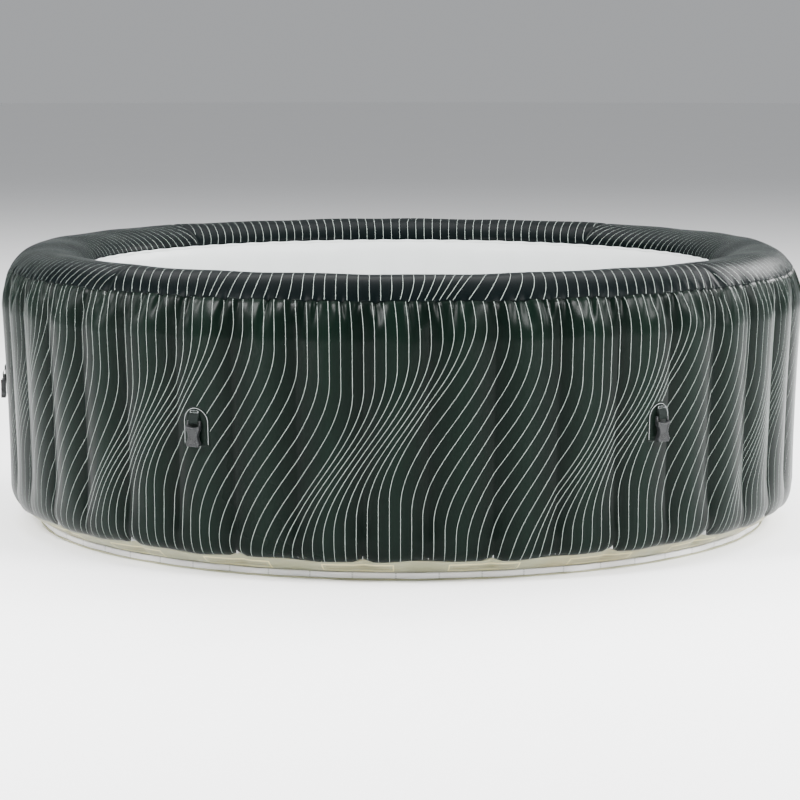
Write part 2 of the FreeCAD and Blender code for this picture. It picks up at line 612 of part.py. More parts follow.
def make_board():
    back = 976.0
    board = box(-20, 110, back - 1.6, back, 300, 400)
    parts = [box(-10, 15, back - 18, back - 1.6, 310, 330), box(25, 50, back - 18, back - 1.6, 310, 330)]
    for step in range(3):
        parts.append(rod(8, 70 + 18 * (step % 2), 322 + 22 * step, back - 26, back - 1.6))
    parts.append(box(-12, 40, back - 8, back - 1.6, 350, 390))
    under_cover = Part.makeCylinder(FLANGE_RADIUS, TUB_HEIGHT)
    stand = [rod(3, x, z, back, 1020).common(under_cover) for x in (-14, 104) for z in (306, 394)]
    save("control_board", joined(board, *(parts + stand)))


def make_wet_face():
    plate = rounded_block(150, FACE_FRONT, FACE_BACK, 140, 420, 28)
    places = ((PUMP_X, PUMP_Z), (RETURN_X, RETURN_Z))
    bores = [rod(PIPE_BORE, x, z, FACE_FRONT, FACE_BACK) for x, z in places]
    save("wet_face", plate.cut(Part.makeCompound(bores)))

    ring_part = pipe(24, 14, RETURN_X, RETURN_Z, FACE_FRONT - 8, FACE_FRONT)
    ball = Part.makeSphere(15, Vector(RETURN_X, FACE_FRONT - 8, RETURN_Z))
    ball = ball.common(rod(14, RETURN_X, RETURN_Z, FACE_FRONT - 30, FACE_FRONT))
    ball = ball.cut(rod(8, RETURN_X, RETURN_Z, FACE_FRONT - 30, FACE_FRONT))
    save("outlet_nozzle", joined(ring_part, ball))


def make_filter():
    near = FACE_FRONT - 0.3
    far = near - FILTER_LENGTH
    cage = rod(FILTER_RADIUS, PUMP_X, PUMP_Z, far, near)
    cage = cage.cut(rod(FILTER_RADIUS - 3, PUMP_X, PUMP_Z, far + 3, near))
    slots = []
    for index in range(16):
        slot = box(PUMP_X - 4, PUMP_X + 4, far + 14, near - 14, PUMP_Z + 40, PUMP_Z + 70)
        slot.rotate(Vector(PUMP_X, 0, PUMP_Z), OUT, 22.5 * index)
        slots.append(slot)
    grip = box(PUMP_X - 26, PUMP_X + 26, far - 10, far, PUMP_Z - 4, PUMP_Z + 4)
    save("filter_cage", cage.cut(Part.makeCompound(slots)).fuse(grip).removeSplitter())

    core = rod(42, PUMP_X, PUMP_Z, far + 3, near)
    pleats = []
    for index in range(36):
        pleat = box(PUMP_X - 1.5, PUMP_X + 1.5, far + 10, near - 8, PUMP_Z + 41, PUMP_Z + 52)
        pleat.rotate(Vector(PUMP_X, 0, PUMP_Z), OUT, 10.0 * index)
        pleats.append(pleat)
    caps = [rod(52, PUMP_X, PUMP_Z, far + 3, far + 10), rod(52, PUMP_X, PUMP_Z, near - 8, near)]
    cartridge = joined(core, *(pleats + caps)).cut(rod(20, PUMP_X, PUMP_Z, far + 10, near))
    save("filter_cartridge", cartridge)


# ---- wall fittings -------------------------------------------------------
def hinged_cap(radius, height, face):
    """A flip cap over a round fitting: the fixed ears with their pin, and the cap that turns on it."""
    axis_y = face + 2.0
    axis_z = height + radius + 4.0
    ears = []
    for x in (-8.0, 5.0):
        root = box(x, x + 3, face - 3, face, height + radius - 6, axis_z + 2)
        ears.append(root.fuse(box(x, x + 3, face, axis_y + 2, axis_z - 2, axis_z + 2)))
    pin = bar(1.0, -8, 8, axis_y, axis_z)
    lid = rod(radius, 0, height, face + 0.3, face + 3.3)
    arm = box(-4.7, 4.7, face + 0.6, face + 3.3, height + radius - 6, axis_z)
    knuckle = bar(2.0, -4.7, 4.7, axis_y, axis_z)
    lid = joined(lid, arm, knuckle).cut(bar(1.05, -6, 6, axis_y, axis_z))
    return joined(ears[0], ears[1], pin), lid


def make_inflation_valve():
    wall = wall_radius(VALVE_HEIGHT + VALVE_FLANGE_RADIUS)
    face = wall + 4.0
    flange = rod(VALVE_FLANGE_RADIUS, 0, VALVE_HEIGHT, wall, face)
    body = joined(flange, rod(VALVE_BODY_RADIUS, 0, VALVE_HEIGHT, wall - 35, wall))
    bores = [rod(14, 0, VALVE_HEIGHT, wall - 32, face), rod(2.05, 0, VALVE_HEIGHT, wall - 35, wall - 32)]
    for step in range(4):
        vent = rod(3, 8, VALVE_HEIGHT, wall - 36, wall - 30)
        vent.rotate(Vector(0, 0, VALVE_HEIGHT), OUT, 90.0 * step)
        bores.append(vent)
    ears, lid = hinged_cap(20.0, VALVE_HEIGHT, face)
    body = body.cut(Part.makeCompound(bores)).fuse(ears)
    save("inflation_valve_body", turned(body, VALVE_BEARING))
    save("inflation_valve_cap", turned(lid, VALVE_BEARING))
    stem = rod(2, 0, VALVE_HEIGHT, wall - 38, wall - 6)
    seal = rod(12, 0, VALVE_HEIGHT, wall - 38.5, wall - 35.3)
    button = rod(5, 0, VALVE_HEIGHT, wall - 9, wall - 6)
    save("inflation_valve_plunger", turned(joined(stem, seal, button), VALVE_BEARING))


def make_relief_valve():
    wall = wall_radius(RELIEF_HEIGHT + RELIEF_FLANGE_RADIUS)
    face = wall + 3.0
    flange = rod(RELIEF_FLANGE_RADIUS, 0, RELIEF_HEIGHT, wall, face)
    body = joined(flange, rod(RELIEF_BODY_RADIUS, 0, RELIEF_HEIGHT, wall - 25, wall))
    bores = [rod(7, 0, RELIEF_HEIGHT, wall - 22, face), rod(2.05, 0, RELIEF_HEIGHT, wall - 25, wall - 22)]
    for step in range(3):
        vent = rod(1.5, 5, RELIEF_HEIGHT, wall - 26, wall - 20)
        vent.rotate(Vector(0, 0, RELIEF_HEIGHT), OUT, 120.0 * step)
        bores.append(vent)
    save("relief_valve_body", turned(body.cut(Part.makeCompound(bores)), RELIEF_BEARING))
    stem = rod(2, 0, RELIEF_HEIGHT, wall - 32, face + 2)
    head = rod(11, 0, RELIEF_HEIGHT, face + 0.2, face + 3)
    save("relief_valve_poppet", turned(joined(stem, head), RELIEF_BEARING))


def make_drain():
    inside = LINER_RADIUS - 8.0
    outside = WALL_FOOT_RADIUS + 1.0
    sleeve = rod(DRAIN_SLEEVE_RADIUS, 0, DRAIN_HEIGHT, inside, outside)
    inner_flange = rod(24, 0, DRAIN_HEIGHT, inside, inside + 4)
    outer_flange = rod(24, 0, DRAIN_HEIGHT, outside, outside + 4)
    spigot = rod(DRAIN_THREAD_RADIUS, 0, DRAIN_HEIGHT, outside + 4, outside + 20)
    bore = rod(9, 0, DRAIN_HEIGHT, inside, outside + 20)
    fitting = joined(sleeve, inner_flange, outer_flange, spigot).cut(bore)
    save("drain_fitting", turned(fitting, DRAIN_BEARING))
    plug = rod(8.92, 0, DRAIN_HEIGHT, inside - 0.3, inside + 12)
    cap = rod(19, 0, DRAIN_HEIGHT, inside - 6.3, inside - 0.3)
    grip = box(-14, 14, inside - 18, inside - 6.3, DRAIN_HEIGHT - 3, DRAIN_HEIGHT + 3)
    save("drain_plug", turned(joined(plug, cap, grip), DRAIN_BEARING))


def make_ports():
    """Hose port, controller socket and cord gland, through the rear cover."""
    back = FLANGE_RADIUS - 20
    collar_face = COVER_RADIUS + 2
    tip = COVER_RADIUS + 20
    shank = rod(HOSE_PORT_SHANK, 0, PORT_HEIGHT, back, COVER_RADIUS)
    collar = rod(HOSE_PORT_SHANK + 4, 0, PORT_HEIGHT, COVER_RADIUS, collar_face)
    spigot = rod(HOSE_PORT_RADIUS, 0, PORT_HEIGHT, collar_face, tip)
    port = joined(shank, collar, spigot).cut(rod(HOSE_PORT_BORE, 0, PORT_HEIGHT, back, tip))
    save("inflation_hose_port", turned(port, 180.0 + HOSE_PORT_ANGLE))

    socket = rod(SOCKET_SHANK, 0, PORT_HEIGHT, FLANGE_RADIUS - 16, COVER_RADIUS + 6)
    collar = rod(15, 0, PORT_HEIGHT, COVER_RADIUS, COVER_RADIUS + 6)
    hollow = rod(10, 0, PORT_HEIGHT, FLANGE_RADIUS - 8, COVER_RADIUS + 6)
    ears, lid = hinged_cap(15.0, PORT_HEIGHT, COVER_RADIUS + 6)
    socket = joined(socket, collar).cut(hollow)
    save("controller_socket", turned(joined(socket, ears), 180.0 + SOCKET_ANGLE))
    save("controller_socket_cap", turned(lid, 180.0 + SOCKET_ANGLE))

    nut_radius = 11.0
    corners = []
    for step in range(7):
        turn = math.radians(60 * step)
        place = (nut_radius * math.cos(turn), PORT_HEIGHT + nut_radius * math.sin(turn))
        corners.append(Vector(place[0], COVER_RADIUS, place[1]))
    nut = Part.Face(Part.makePolygon(corners)).extrude(Vector(0, 5, 0))
    back = FLANGE_RADIUS - 12
    tip = COVER_RADIUS + 14
    gland = joined(rod(GLAND_SHANK, 0, PORT_HEIGHT, back, tip), nut)
    gland = gland.cut(rod(GLAND_BORE_RADIUS, 0, PORT_HEIGHT, back, tip))
    save("power_cord_gland", turned(gland, 180.0 + GLAND_ANGLE))


make_outer_wall()
make_rim_panels()
make_seams()
make_liner()
make_base()
make_webs()
make_bubble_ring()
make_buckles()
make_housing()
make_cover()
make_pump()
make_water_pipes()
make_blower()
make_board()
make_wet_face()
make_filter()
make_inflation_valve()
make_relief_valve()
make_drain()
make_ports()
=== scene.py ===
import json
import math
import random
import bmesh
import bpy
import numpy as np
from mathutils import Matrix, Vector


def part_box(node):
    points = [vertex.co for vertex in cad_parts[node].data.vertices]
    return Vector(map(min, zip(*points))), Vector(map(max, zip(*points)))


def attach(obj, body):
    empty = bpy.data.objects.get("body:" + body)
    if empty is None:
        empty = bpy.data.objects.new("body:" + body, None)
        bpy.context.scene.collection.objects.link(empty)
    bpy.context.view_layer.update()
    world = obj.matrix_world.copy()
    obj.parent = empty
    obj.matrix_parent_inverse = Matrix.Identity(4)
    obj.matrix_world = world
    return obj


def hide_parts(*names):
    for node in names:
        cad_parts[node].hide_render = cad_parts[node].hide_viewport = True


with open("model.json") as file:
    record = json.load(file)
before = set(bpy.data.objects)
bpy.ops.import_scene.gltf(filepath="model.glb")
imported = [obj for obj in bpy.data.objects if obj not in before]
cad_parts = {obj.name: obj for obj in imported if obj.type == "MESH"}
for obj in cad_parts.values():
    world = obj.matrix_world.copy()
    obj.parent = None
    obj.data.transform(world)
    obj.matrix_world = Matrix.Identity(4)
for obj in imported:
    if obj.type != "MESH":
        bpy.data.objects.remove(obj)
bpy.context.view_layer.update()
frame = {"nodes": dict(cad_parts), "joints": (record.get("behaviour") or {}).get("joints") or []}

# Metres. Bearings are in degrees about +Z: 0 is the front (-Y), 90 is +X, 180 is the back (+Y).

# ---- camera ---------------------------------------------------------------
CAMERA_DISTANCE = 7.123
CAMERA_HEIGHT = 1.2505
CAMERA_PITCH = 7.68
camera = bpy.data.objects.new("camera", bpy.data.cameras.new("camera"))
bpy.context.scene.collection.objects.link(camera)
camera.location = (0.0, -CAMERA_DISTANCE, CAMERA_HEIGHT)
camera.rotation_euler = (math.radians(90.0 - CAMERA_PITCH), 0.0, 0.0)
camera.data.lens = 124.1
camera.data.shift_x = -0.0019
bpy.context.scene.camera = camera

# ---- sizes, from the frame --------------------------------------------------
wall_low, wall_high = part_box("outer_wall")
SHOULDER_RADIUS = wall_high[0]
SEAM_HEIGHT = wall_high[2]
BASE_SEAM_HEIGHT = wall_low[2]
RIM_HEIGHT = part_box("rim_panel_1")[1][2]
liner_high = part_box("inner_liner_wall")[1]
LINER_TOP = liner_high[2]
LINER_TOP_RADIUS = liner_high[0] - 0.002
FLOOR_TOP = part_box("floor_sheet")[1][2]
FLOOR_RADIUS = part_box("floor_sheet")[1][0]
STRIP_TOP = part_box("base_weld_strip")[1][2]
STRIP_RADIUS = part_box("base_weld_strip")[1][0]
MAT_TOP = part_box("ground_mat")[1][2]
MAT_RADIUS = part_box("ground_mat")[1][0]
BASE_SEAM_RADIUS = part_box("base_skin")[1][0]
LINER_RADIUS = 0.800
CREST_RADIUS = 0.924
SHOULDER_HEIGHT = 0.557
WALL_FOOT_RADIUS = 1.013
WALL_FOOT_HEIGHT = 0.110

UNIT_HALF_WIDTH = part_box("rear_cover")[1][0] + 0.002
UNIT_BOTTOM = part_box("rear_cover")[0][2] - 0.002
UNIT_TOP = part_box("rear_cover")[1][2] + 0.002
UNIT_CORNER = 0.030
UNDER_FLANGE = 1.0168            # the wall skin runs in under the unit's flange at this radius

CELLS = 42
CELL = 360.0 / CELLS
WEB_PHASE = 3.5
SECTORS = 6
CELLS_PER_SECTOR = CELLS // SECTORS
RIM_JOINTS = [-43.0, 48.5, 141.0, 224.0, 317.0]
BUCKLE_JOINTS = [joint for joint in frame["joints"] if joint["name"].startswith("buckle")]
BUCKLE_PLACES = [joint["pos_m"] for joint in BUCKLE_JOINTS]
BUCKLE_BEARINGS = [math.degrees(math.atan2(place[0], -place[1])) for place in BUCKLE_PLACES]
CREASE_DEPTH = 0.014


# ---- material tools ---------------------------------------------------------
class Wire:
    """A value that flows between shader nodes. Sums on it add Math nodes."""

    def __init__(self, finish, socket):
        self.finish = finish
        self.socket = socket

    def math(self, operation, *others):
        sockets = {index: value for index, value in enumerate((self,) + others)}
        return self.finish.node("ShaderNodeMath", {"operation": operation}, sockets)

    def __add__(self, other):
        return self.math("ADD", other)

    def __radd__(self, other):
        return self.math("ADD", other)

    def __sub__(self, other):
        return self.math("SUBTRACT", other)

    def __rsub__(self, other):
        return (self * -1.0).math("ADD", other)

    def __mul__(self, other):
        return self.math("MULTIPLY", other)

    def __rmul__(self, other):
        return self.math("MULTIPLY", other)

    def __truediv__(self, other):
        return self.math("DIVIDE", other)

    def __abs__(self):
        return self.math("ABSOLUTE")

    def below(self, edge):
        return self.math("LESS_THAN", edge)

    def above(self, edge):
        return self.math("GREATER_THAN", edge)

    def repeat(self, step):
        """Distance from the middle of each step, from 0 to half a step."""
        return abs(self.math("FLOORED_MODULO", step) - step / 2.0)

    def held(self, low, high):
        return self.math("MAXIMUM", low).math("MINIMUM", high)


class Finish:
    """One material and the nodes that make it."""

    def __init__(self, name, color, roughness, metallic=0.0, specular=0.5, coat=0.0):
        self.material = bpy.data.materials.new(name)
        self.material.use_nodes = True
        self.tree = self.material.node_tree
        self.shader = self.tree.nodes["Principled BSDF"]
        self.shader.inputs["Base Color"].default_value = (*color, 1.0)
        self.shader.inputs["Roughness"].default_value = roughness
        self.shader.inputs["Metallic"].default_value = metallic
        self.shader.inputs["Specular IOR Level"].default_value = specular
        self.shader.inputs["Coat Weight"].default_value = coat
        self.color = color
        self.roughness = roughness
        self.material.diffuse_color = (*color, 1.0)

    def node(self, kind, settings=None, sockets=None, output=0):
        """Adds a node: its settings first, then values or links for its sockets."""
        made = self.tree.nodes.new(kind)
        for name, value in (settings or {}).items():
            setattr(made, name, value)
        for key, value in (sockets or {}).items():
            if isinstance(value, Wire):
                self.tree.links.new(value.socket, made.inputs[key])
            else:
                made.inputs[key].default_value = value
        return Wire(self, made.outputs[output])

    def place(self):
        return self.node("ShaderNodeTexCoord", output="Object")

    def axes(self):
        split = self.node("ShaderNodeSeparateXYZ", sockets={0: self.place()})
        outputs = split.socket.node.outputs
        return [Wire(self, socket) for socket in outputs]

    def bearing(self):
        """Degrees round the tub, 0 at the front, and the distance from its axis."""
        x, y, _ = self.axes()
        turn = x.math("ARCTAN2", y * -1.0) * (180.0 / math.pi) + 360.0
        return turn, (x * x + y * y).math("SQRT")

    def noise(self, scale, detail=3.0, roughness=0.5, vector=None, stretch=None):
        vector = vector or self.place()
        if stretch:
            vector = self.node("ShaderNodeMapping", sockets={"Vector": vector, "Scale": stretch})
        return self.node("ShaderNodeTexNoise", sockets={
            "Vector": vector, "Scale": scale, "Detail": detail, "Roughness": roughness})

    def cells(self, scale, feature="F1", vector=None):
        return self.node("ShaderNodeTexVoronoi", {"feature": feature},
                         {"Vector": vector or self.place(), "Scale": scale})

    def mixed(self, factor, first, second):
        """One colour laid over another. Colours are tuples or wires."""
        sockets = {0: factor}
        for key, color in ((6, first), (7, second)):
            sockets[key] = color if isinstance(color, Wire) else (*color, 1.0)
        return self.node("ShaderNodeMix", {"data_type": "RGBA"}, sockets, output=2)

    def feed(self, name, wire):
        self.tree.links.new(wire.socket, self.shader.inputs[name])

    def bump(self, height, distance, strength=1.0):
        wire = self.node("ShaderNodeBump", sockets={
            "Height": height, "Distance": distance, "Strength": strength})
        self.feed("Normal", wire)

    def mottle(self, scale, spread):
        """Colour and roughness wander a little, as on any real moulding or sheet."""
        cloud = self.noise(scale, 4.0, 0.6)
        darker = tuple(channel * (1.0 - spread) for channel in self.color)
        lighter = tuple(min(1.0, channel * (1.0 + spread)) for channel in self.color)
        self.feed("Base Color", self.mixed(cloud, darker, lighter))
        self.feed("Roughness", (cloud - 0.5) * 0.3 + self.roughness)
        return cloud


# ---- finishes ---------------------------------------------------------------
def wall_vinyl():
    """Dark green vinyl with painted sheen and shade: lighter on the crest of each bulge, darker towards each
    crease.
    """
    finish = Finish("printed wall vinyl", (0.0012, 0.0040, 0.0025), 0.31, specular=0.055)
    cloud = finish.mottle(2.2, 0.16)
    turn, _ = finish.bearing()
    # painted sheen and shade: the base colour is lightest on each bulge's crest and darkest in the creases
    # between cells
    painted_sheen_share = 1.0 - (turn - WEB_PHASE).repeat(CELL) / (CELL / 2.0)
    tint = finish.mixed(painted_sheen_share.held(0.0, 1.0), (0.0005, 0.0020, 0.0012), (0.0021, 0.0062, 0.0040))
    finish.feed("Base Color", finish.mixed(cloud * 0.5, tint, (0.0010, 0.0030, 0.0022)))
    scrim = finish.noise(420.0, 2.0, 0.5, stretch=(1.0, 1.0, 0.25))
    slack = finish.noise(9.0, 3.0, 0.55, stretch=(1.0, 1.0, 0.35))
    finish.bump(scrim * 0.12 + slack, 0.0022, 0.55)
    return finish.material


def rim_vinyl():
    finish = Finish("printed rim vinyl", (0.0013, 0.0025, 0.0027), 0.36, specular=0.018)
    finish.mottle(3.0, 0.15)
    scrim = finish.noise(420.0, 2.0, 0.5)
    slack = finish.noise(6.0, 2.0, 0.5)
    finish.bump(scrim * 0.12 + slack, 0.0016, 0.5)
    return finish.material


def seam_vinyl():
    finish = Finish("welded seam vinyl", (0.0012, 0.0030, 0.0024), 0.4, specular=0.05)
    finish.mottle(40.0, 0.3)
    ridge = finish.noise(260.0, 2.0, 0.6)
    finish.bump(ridge, 0.0006, 0.7)
    return finish.material


def print_ink():
    finish = Finish("pale print ink", (0.34, 0.39, 0.36), 0.5, specular=0.1)
    wear = finish.noise(120.0, 3.0, 0.6)
    finish.feed("Base Color", finish.mixed(wear, (0.26, 0.31, 0.28), (0.42, 0.47, 0.44)))
    finish.feed("Roughness", wear * 0.2 + 0.4)
    return finish.material


def liner_vinyl():
    finish = Finish("white liner vinyl", (0.50, 0.52, 0.515), 0.42, specular=0.35)
    finish.mottle(5.0, 0.035)
    slack = finish.noise(7.0, 3.0, 0.5, stretch=(1.0, 1.0, 0.4))
    grain = finish.noise(380.0, 2.0, 0.5)
    finish.bump(grain * 0.1 + slack, 0.002, 0.45)
    return finish.material


def floor_vinyl():
    finish = Finish("embossed floor vinyl", (0.74, 0.76, 0.755), 0.5, specular=0.4)
    finish.mottle(4.0, 0.04)
    dots = finish.cells(55.0, "SMOOTH_F1")
    finish.bump((0.5 - dots).held(0.0, 0.5), 0.0018, 0.6)
    return finish.material


def base_vinyl():
    """Pale base skin: milky, with faint yellow glue frames left by the pads behind it."""
    finish = Finish("milky base vinyl", (0.60, 0.60, 0.47), 0.42, specular=0.4)
    cloud = finish.noise(6.0, 4.0, 0.6)
    turn, _ = finish.bearing()
    along = (turn + 5.9 + CELL).repeat(2.0 * CELL)
    up = finish.axes()[2]
    across = abs(up - 0.033)
    inside = along.below(4.9) * across.below(0.0105)
    core = along.below(4.72) * across.below(0.0078)
    inner = along.below(4.3) * across.below(0.0052)
    frame_line = inside - core
    thread = up.repeat(0.0048).below(0.0009) * inner
    tint = finish.mixed(cloud, (0.145, 0.148, 0.085), (0.27, 0.27, 0.17))
    tint = finish.mixed(frame_line, tint, (0.50, 0.44, 0.22))
    tint = finish.mixed(thread * 0.8, tint, (0.12, 0.09, 0.03))
    stain = (finish.noise(3.2, 3.0, 0.6) - 0.52).held(0.0, 1.0) * 2.6
    tint = finish.mixed(stain.held(0.0, 0.5), tint, (0.26, 0.20, 0.08))
    finish.feed("Base Color", tint)
    finish.feed("Roughness", cloud * 0.2 + 0.33)
    finish.bump(frame_line + cloud * 0.6, 0.0014, 0.6)
    return finish.material


def strip_vinyl():
    """White weld strip with small grey weld marks at the ends of each pressed length."""
    finish = Finish("white weld strip", (0.83, 0.82, 0.825), 0.4, specular=0.5)
    turn, _ = finish.bearing()
    up = finish.axes()[2]
    mark = (turn + 0.7).repeat(6.1).above(2.93)
    dots = up.repeat(0.0036).below(0.0009)
    cloud = finish.noise(12.0, 4.0, 0.6)
    tint = finish.mixed(cloud, (0.76, 0.745, 0.74), (0.88, 0.875, 0.885))
    finish.feed("Base Color", finish.mixed(mark * dots * 0.75, tint, (0.30, 0.31, 0.30)))
    finish.feed("Roughness", cloud * 0.2 + 0.3)
    finish.bump(cloud + mark * 0.5, 0.0012, 0.5)
    return finish.material


def mat_foam():
    finish = Finish("ground mat foam", (0.36, 0.36, 0.25), 0.85, specular=0.2)
    cloud = finish.mottle(14.0, 0.18)
    pores = finish.cells(700.0)
    finish.bump(pores + cloud * 0.5, 0.0006, 0.8)
    return finish.material


def webbing():
    """Woven strap: ribs across its length, on the strap's own UV map."""
    finish = Finish("woven webbing", (0.003, 0.005, 0.0045), 0.7, specular=0.1)
    uv = finish.node("ShaderNodeTexCoord", output="UV")
    across = finish.node("ShaderNodeSeparateXYZ", sockets={0: uv})
    lengthwise = Wire(finish, across.socket.node.outputs[1])
    rib = lengthwise.repeat(0.0018) / 0.0009
    weave = rib * 0.7 + across.repeat(0.0026) / 0.0013 * 0.5
    dark, light = (0.0016, 0.0030, 0.0025), (0.0050, 0.0085, 0.0072)
    finish.feed("Base Color", finish.mixed(weave.held(0.0, 1.0), dark, light))
    finish.bump(weave, 0.0004, 0.9)
    return finish.material


def stitch_thread():
    finish = Finish("grey thread", (0.34, 0.36, 0.36), 0.6, specular=0.3)
    twist = finish.noise(900.0, 2.0, 0.5)
    finish.feed("Base Color", finish.mixed(twist, (0.24, 0.26, 0.26), (0.46, 0.48, 0.48)))
    finish.bump(twist, 0.0002, 0.7)
    return finish.material


def moulded(name, color, roughness, grain=900.0, specular=0.45):
    """Moulded plastic with a fine spark-eroded grain."""
    finish = Finish(name, color, roughness, specular=specular)
    cloud = finish.mottle(25.0, 0.1)
    pebble = finish.cells(grain)
    finish.bump(pebble + cloud * 0.3, 0.00025, 0.5)
    return finish.material


def drawn_steel():
    finish = Finish("drawn steel", (0.55, 0.56, 0.57), 0.32, metallic=1.0)
    streak = finish.noise(60.0, 4.0, 0.6, stretch=(1.0, 18.0, 18.0))
    finish.feed("Base Color", finish.mixed(streak, (0.42, 0.43, 0.44), (0.66, 0.67, 0.68)))
    finish.feed("Roughness", streak * 0.25 + 0.2)
    finish.bump(streak, 0.0001, 0.4)
    return finish.material


def cast_motor():
    finish = Finish("cast motor case", (0.36, 0.37, 0.38), 0.5, metallic=0.9)
    cloud = finish.mottle(30.0, 0.15)
    finish.bump(finish.noise(350.0, 3.0, 0.6) + cloud, 0.0004, 0.6)
    return finish.material


def pleated_paper():
    finish = Finish("filter paper", (0.80, 0.84, 0.90), 0.9, specular=0.2)
    finish.mottle(60.0, 0.05)
    fibre = finish.noise(800.0, 3.0, 0.7)
    finish.bump(fibre, 0.0004, 0.8)
    return finish.material


def circuit_board():
    finish = Finish("circuit board", (0.015, 0.10, 0.035), 0.4, specular=0.5)
    x, _, z = finish.axes()
    tracks = x.repeat(0.006).below(0.0007).math("MAXIMUM", z.repeat(0.011).below(0.0008))
    patchy = finish.noise(40.0, 2.0, 0.5).above(0.5)
    finish.feed("Base Color", finish.mixed(tracks * patchy, (0.015, 0.10, 0.035), (0.45, 0.33, 0.12)))
    return finish.material


def studio_floor():
    finish = Finish("studio floor", (0.93, 0.93, 0.93), 0.9, specular=0.1)
    cloud = finish.noise(1.5, 2.0, 0.5)
    finish.feed("Base Color", finish.mixed(cloud, (0.92, 0.92, 0.92), (0.94, 0.94, 0.94)))
    return finish.material


WALL = wall_vinyl()
RIM = rim_vinyl()
SEAM = seam_vinyl()
PATCH = moulded("patch vinyl", (0.0014, 0.0042, 0.0027), 0.4, 300.0, 0.07)
INK = print_ink()
LINER = liner_vinyl()
FLOOR = floor_vinyl()
BASE = base_vinyl()
STRIP = strip_vinyl()
MAT = mat_foam()
WEBBING = webbing()
THREAD = stitch_thread()
BUCKLE = moulded("buckle plastic", (0.011, 0.012, 0.0125), 0.36, specular=0.3)
CASING = moulded("unit casing plastic", (0.028, 0.031, 0.034), 0.5, 600.0)
FITTING = moulded("grey fitting plastic", (0.17, 0.185, 0.2), 0.38)
WEB = moulded("web laminate", (0.55, 0.56, 0.55), 0.6, 300.0)
STEEL = drawn_steel()
MOTOR = cast_motor()
PAPER = pleated_paper()
BOARD = circuit_board()


# ---- floor and light ----------------------------------------------------------
def studio():
    mesh = bmesh.new()
    bmesh.ops.create_circle(mesh, cap_ends=True, segments=96, radius=40.0)
    ground = piece_from(mesh, "studio_floor", studio_floor(), smooth=False)
    world = bpy.data.worlds.new("studio")
    world.use_nodes = True
    back = world.node_tree.nodes["Background"]
    back.inputs[0].default_value = (0.95, 0.97, 1.0, 1.0)
    back.inputs[1].default_value = 0.45
    bpy.context.scene.world = world
    # name, bearing, elevation, distance, reach of the point it faces, width, height, power
    lamps = [
        ("overhead", 180.0, 84.0, 4.6, 0.0, 7.0, 6.0, 620.0),
        ("left_side_box", -84.0, 22.0, 4.4, 0.0, 1.2, 2.4, 120.0),
        ("right_side_box", 84.0, 22.0, 4.4, 0.0, 1.2, 2.4, 150.0),
        ("left_front_box", -44.0, 33.0, 4.4, 0.0, 1.1, 1.1, 330.0),
        ("right_front_box", 46.0, 31.0, 4.4, 0.0, 1.8, 1.0, 360.0),
        ("left_floor_glow", -38.0, 16.0, 4.6, 4.42, 1.2, 1.2, 130.0),
        ("right_floor_glow", 38.0, 16.0, 4.6, 4.42, 1.2, 1.2, 130.0),
        ("right_back_box", 128.0, 26.0, 5.4, 0.0, 2.4, 1.4, 330.0),
        ("backdrop_wash", 180.0, 55.0, 9.0, 0.0, 12.0, 5.0, 900.0),
    ]
    for name, bearing, elevation, distance, faced, width, height, power in lamps:
        lamp = bpy.data.objects.new(name, bpy.data.lights.new(name, "AREA"))
        lamp.data.shape = "RECTANGLE"
        lamp.data.size = width
        lamp.data.size_y = height
        lamp.data.energy = power
        lamp.data.spread = math.radians(100.0 if faced else 180.0)
        turn = math.radians(bearing)
        rise = math.radians(elevation)
        ahead = Vector((math.sin(turn), -math.cos(turn), 0.0))
        place = ahead * distance * math.cos(rise) + Vector((0.0, 0.0, 0.35 + distance * math.sin(rise)))
        target = ahead * faced + Vector((0.0, 0.0, 0.0 if faced else 0.35))
        lamp.location = place
        lamp.rotation_euler = (target - place).to_track_quat("-Z", "Y").to_euler()
        bpy.context.scene.collection.objects.link(lamp)


# ---- mesh tools ---------------------------------------------------------------
def piece_from(mesh, name, material, smooth=True):
    """Turns a bmesh into a finished object with one material."""
    data = bpy.data.meshes.new(name)
    for face in mesh.faces:
        face.smooth = smooth
    mesh.to_mesh(data)
    mesh.free()
    data.materials.append(material)
    made = bpy.data.objects.new(name, data)
    bpy.context.scene.collection.objects.link(made)
    return made


def finish_piece(made, body, slot, *nodes):
    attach(made, body)
    if nodes:
        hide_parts(*nodes)
    return made


def sheet_mesh(columns, rows, shape, closed=False):
    """A grid bent to a surface. shape takes two arrays from 0 to 1 and gives points."""
    mesh = bmesh.new()
    bmesh.ops.create_grid(mesh, x_segments=columns, y_segments=rows, size=0.5)
    places = np.array([vertex.co for vertex in mesh.verts])
    points = shape(places[:, 0] + 0.5, places[:, 1] + 0.5)
    for vertex, point in zip(mesh.verts, points.tolist()):
        vertex.co = point
    if closed:
        bmesh.ops.remove_doubles(mesh, verts=mesh.verts, dist=1e-6)
    return mesh


def polar(bearing, radius, height):
    """Points from bearings in degrees, radii and heights."""
    turn = np.radians(bearing)
    return np.stack([radius * np.sin(turn), -radius * np.cos(turn), height + 0.0 * turn], axis=1)


def ease(share):
    share = np.clip(share, 0.0, 1.0)
    return share * share * (3.0 - 2.0 * share)


def to_bearing(bearing):
    """Turns a piece built at the back of the tub to a bearing."""
    return Matrix.Rotation(math.radians(bearing - 180.0), 4, "Z")


# ---- outline of the shell -------------------------------------------------------
SHOULDER_OUT = SHOULDER_RADIUS - CREST_RADIUS
SHOULDER_RISE = RIM_HEIGHT - SHOULDER_HEIGHT
SEAM_TURN = math.asin((SEAM_HEIGHT - SHOULDER_HEIGHT) / SHOULDER_RISE)


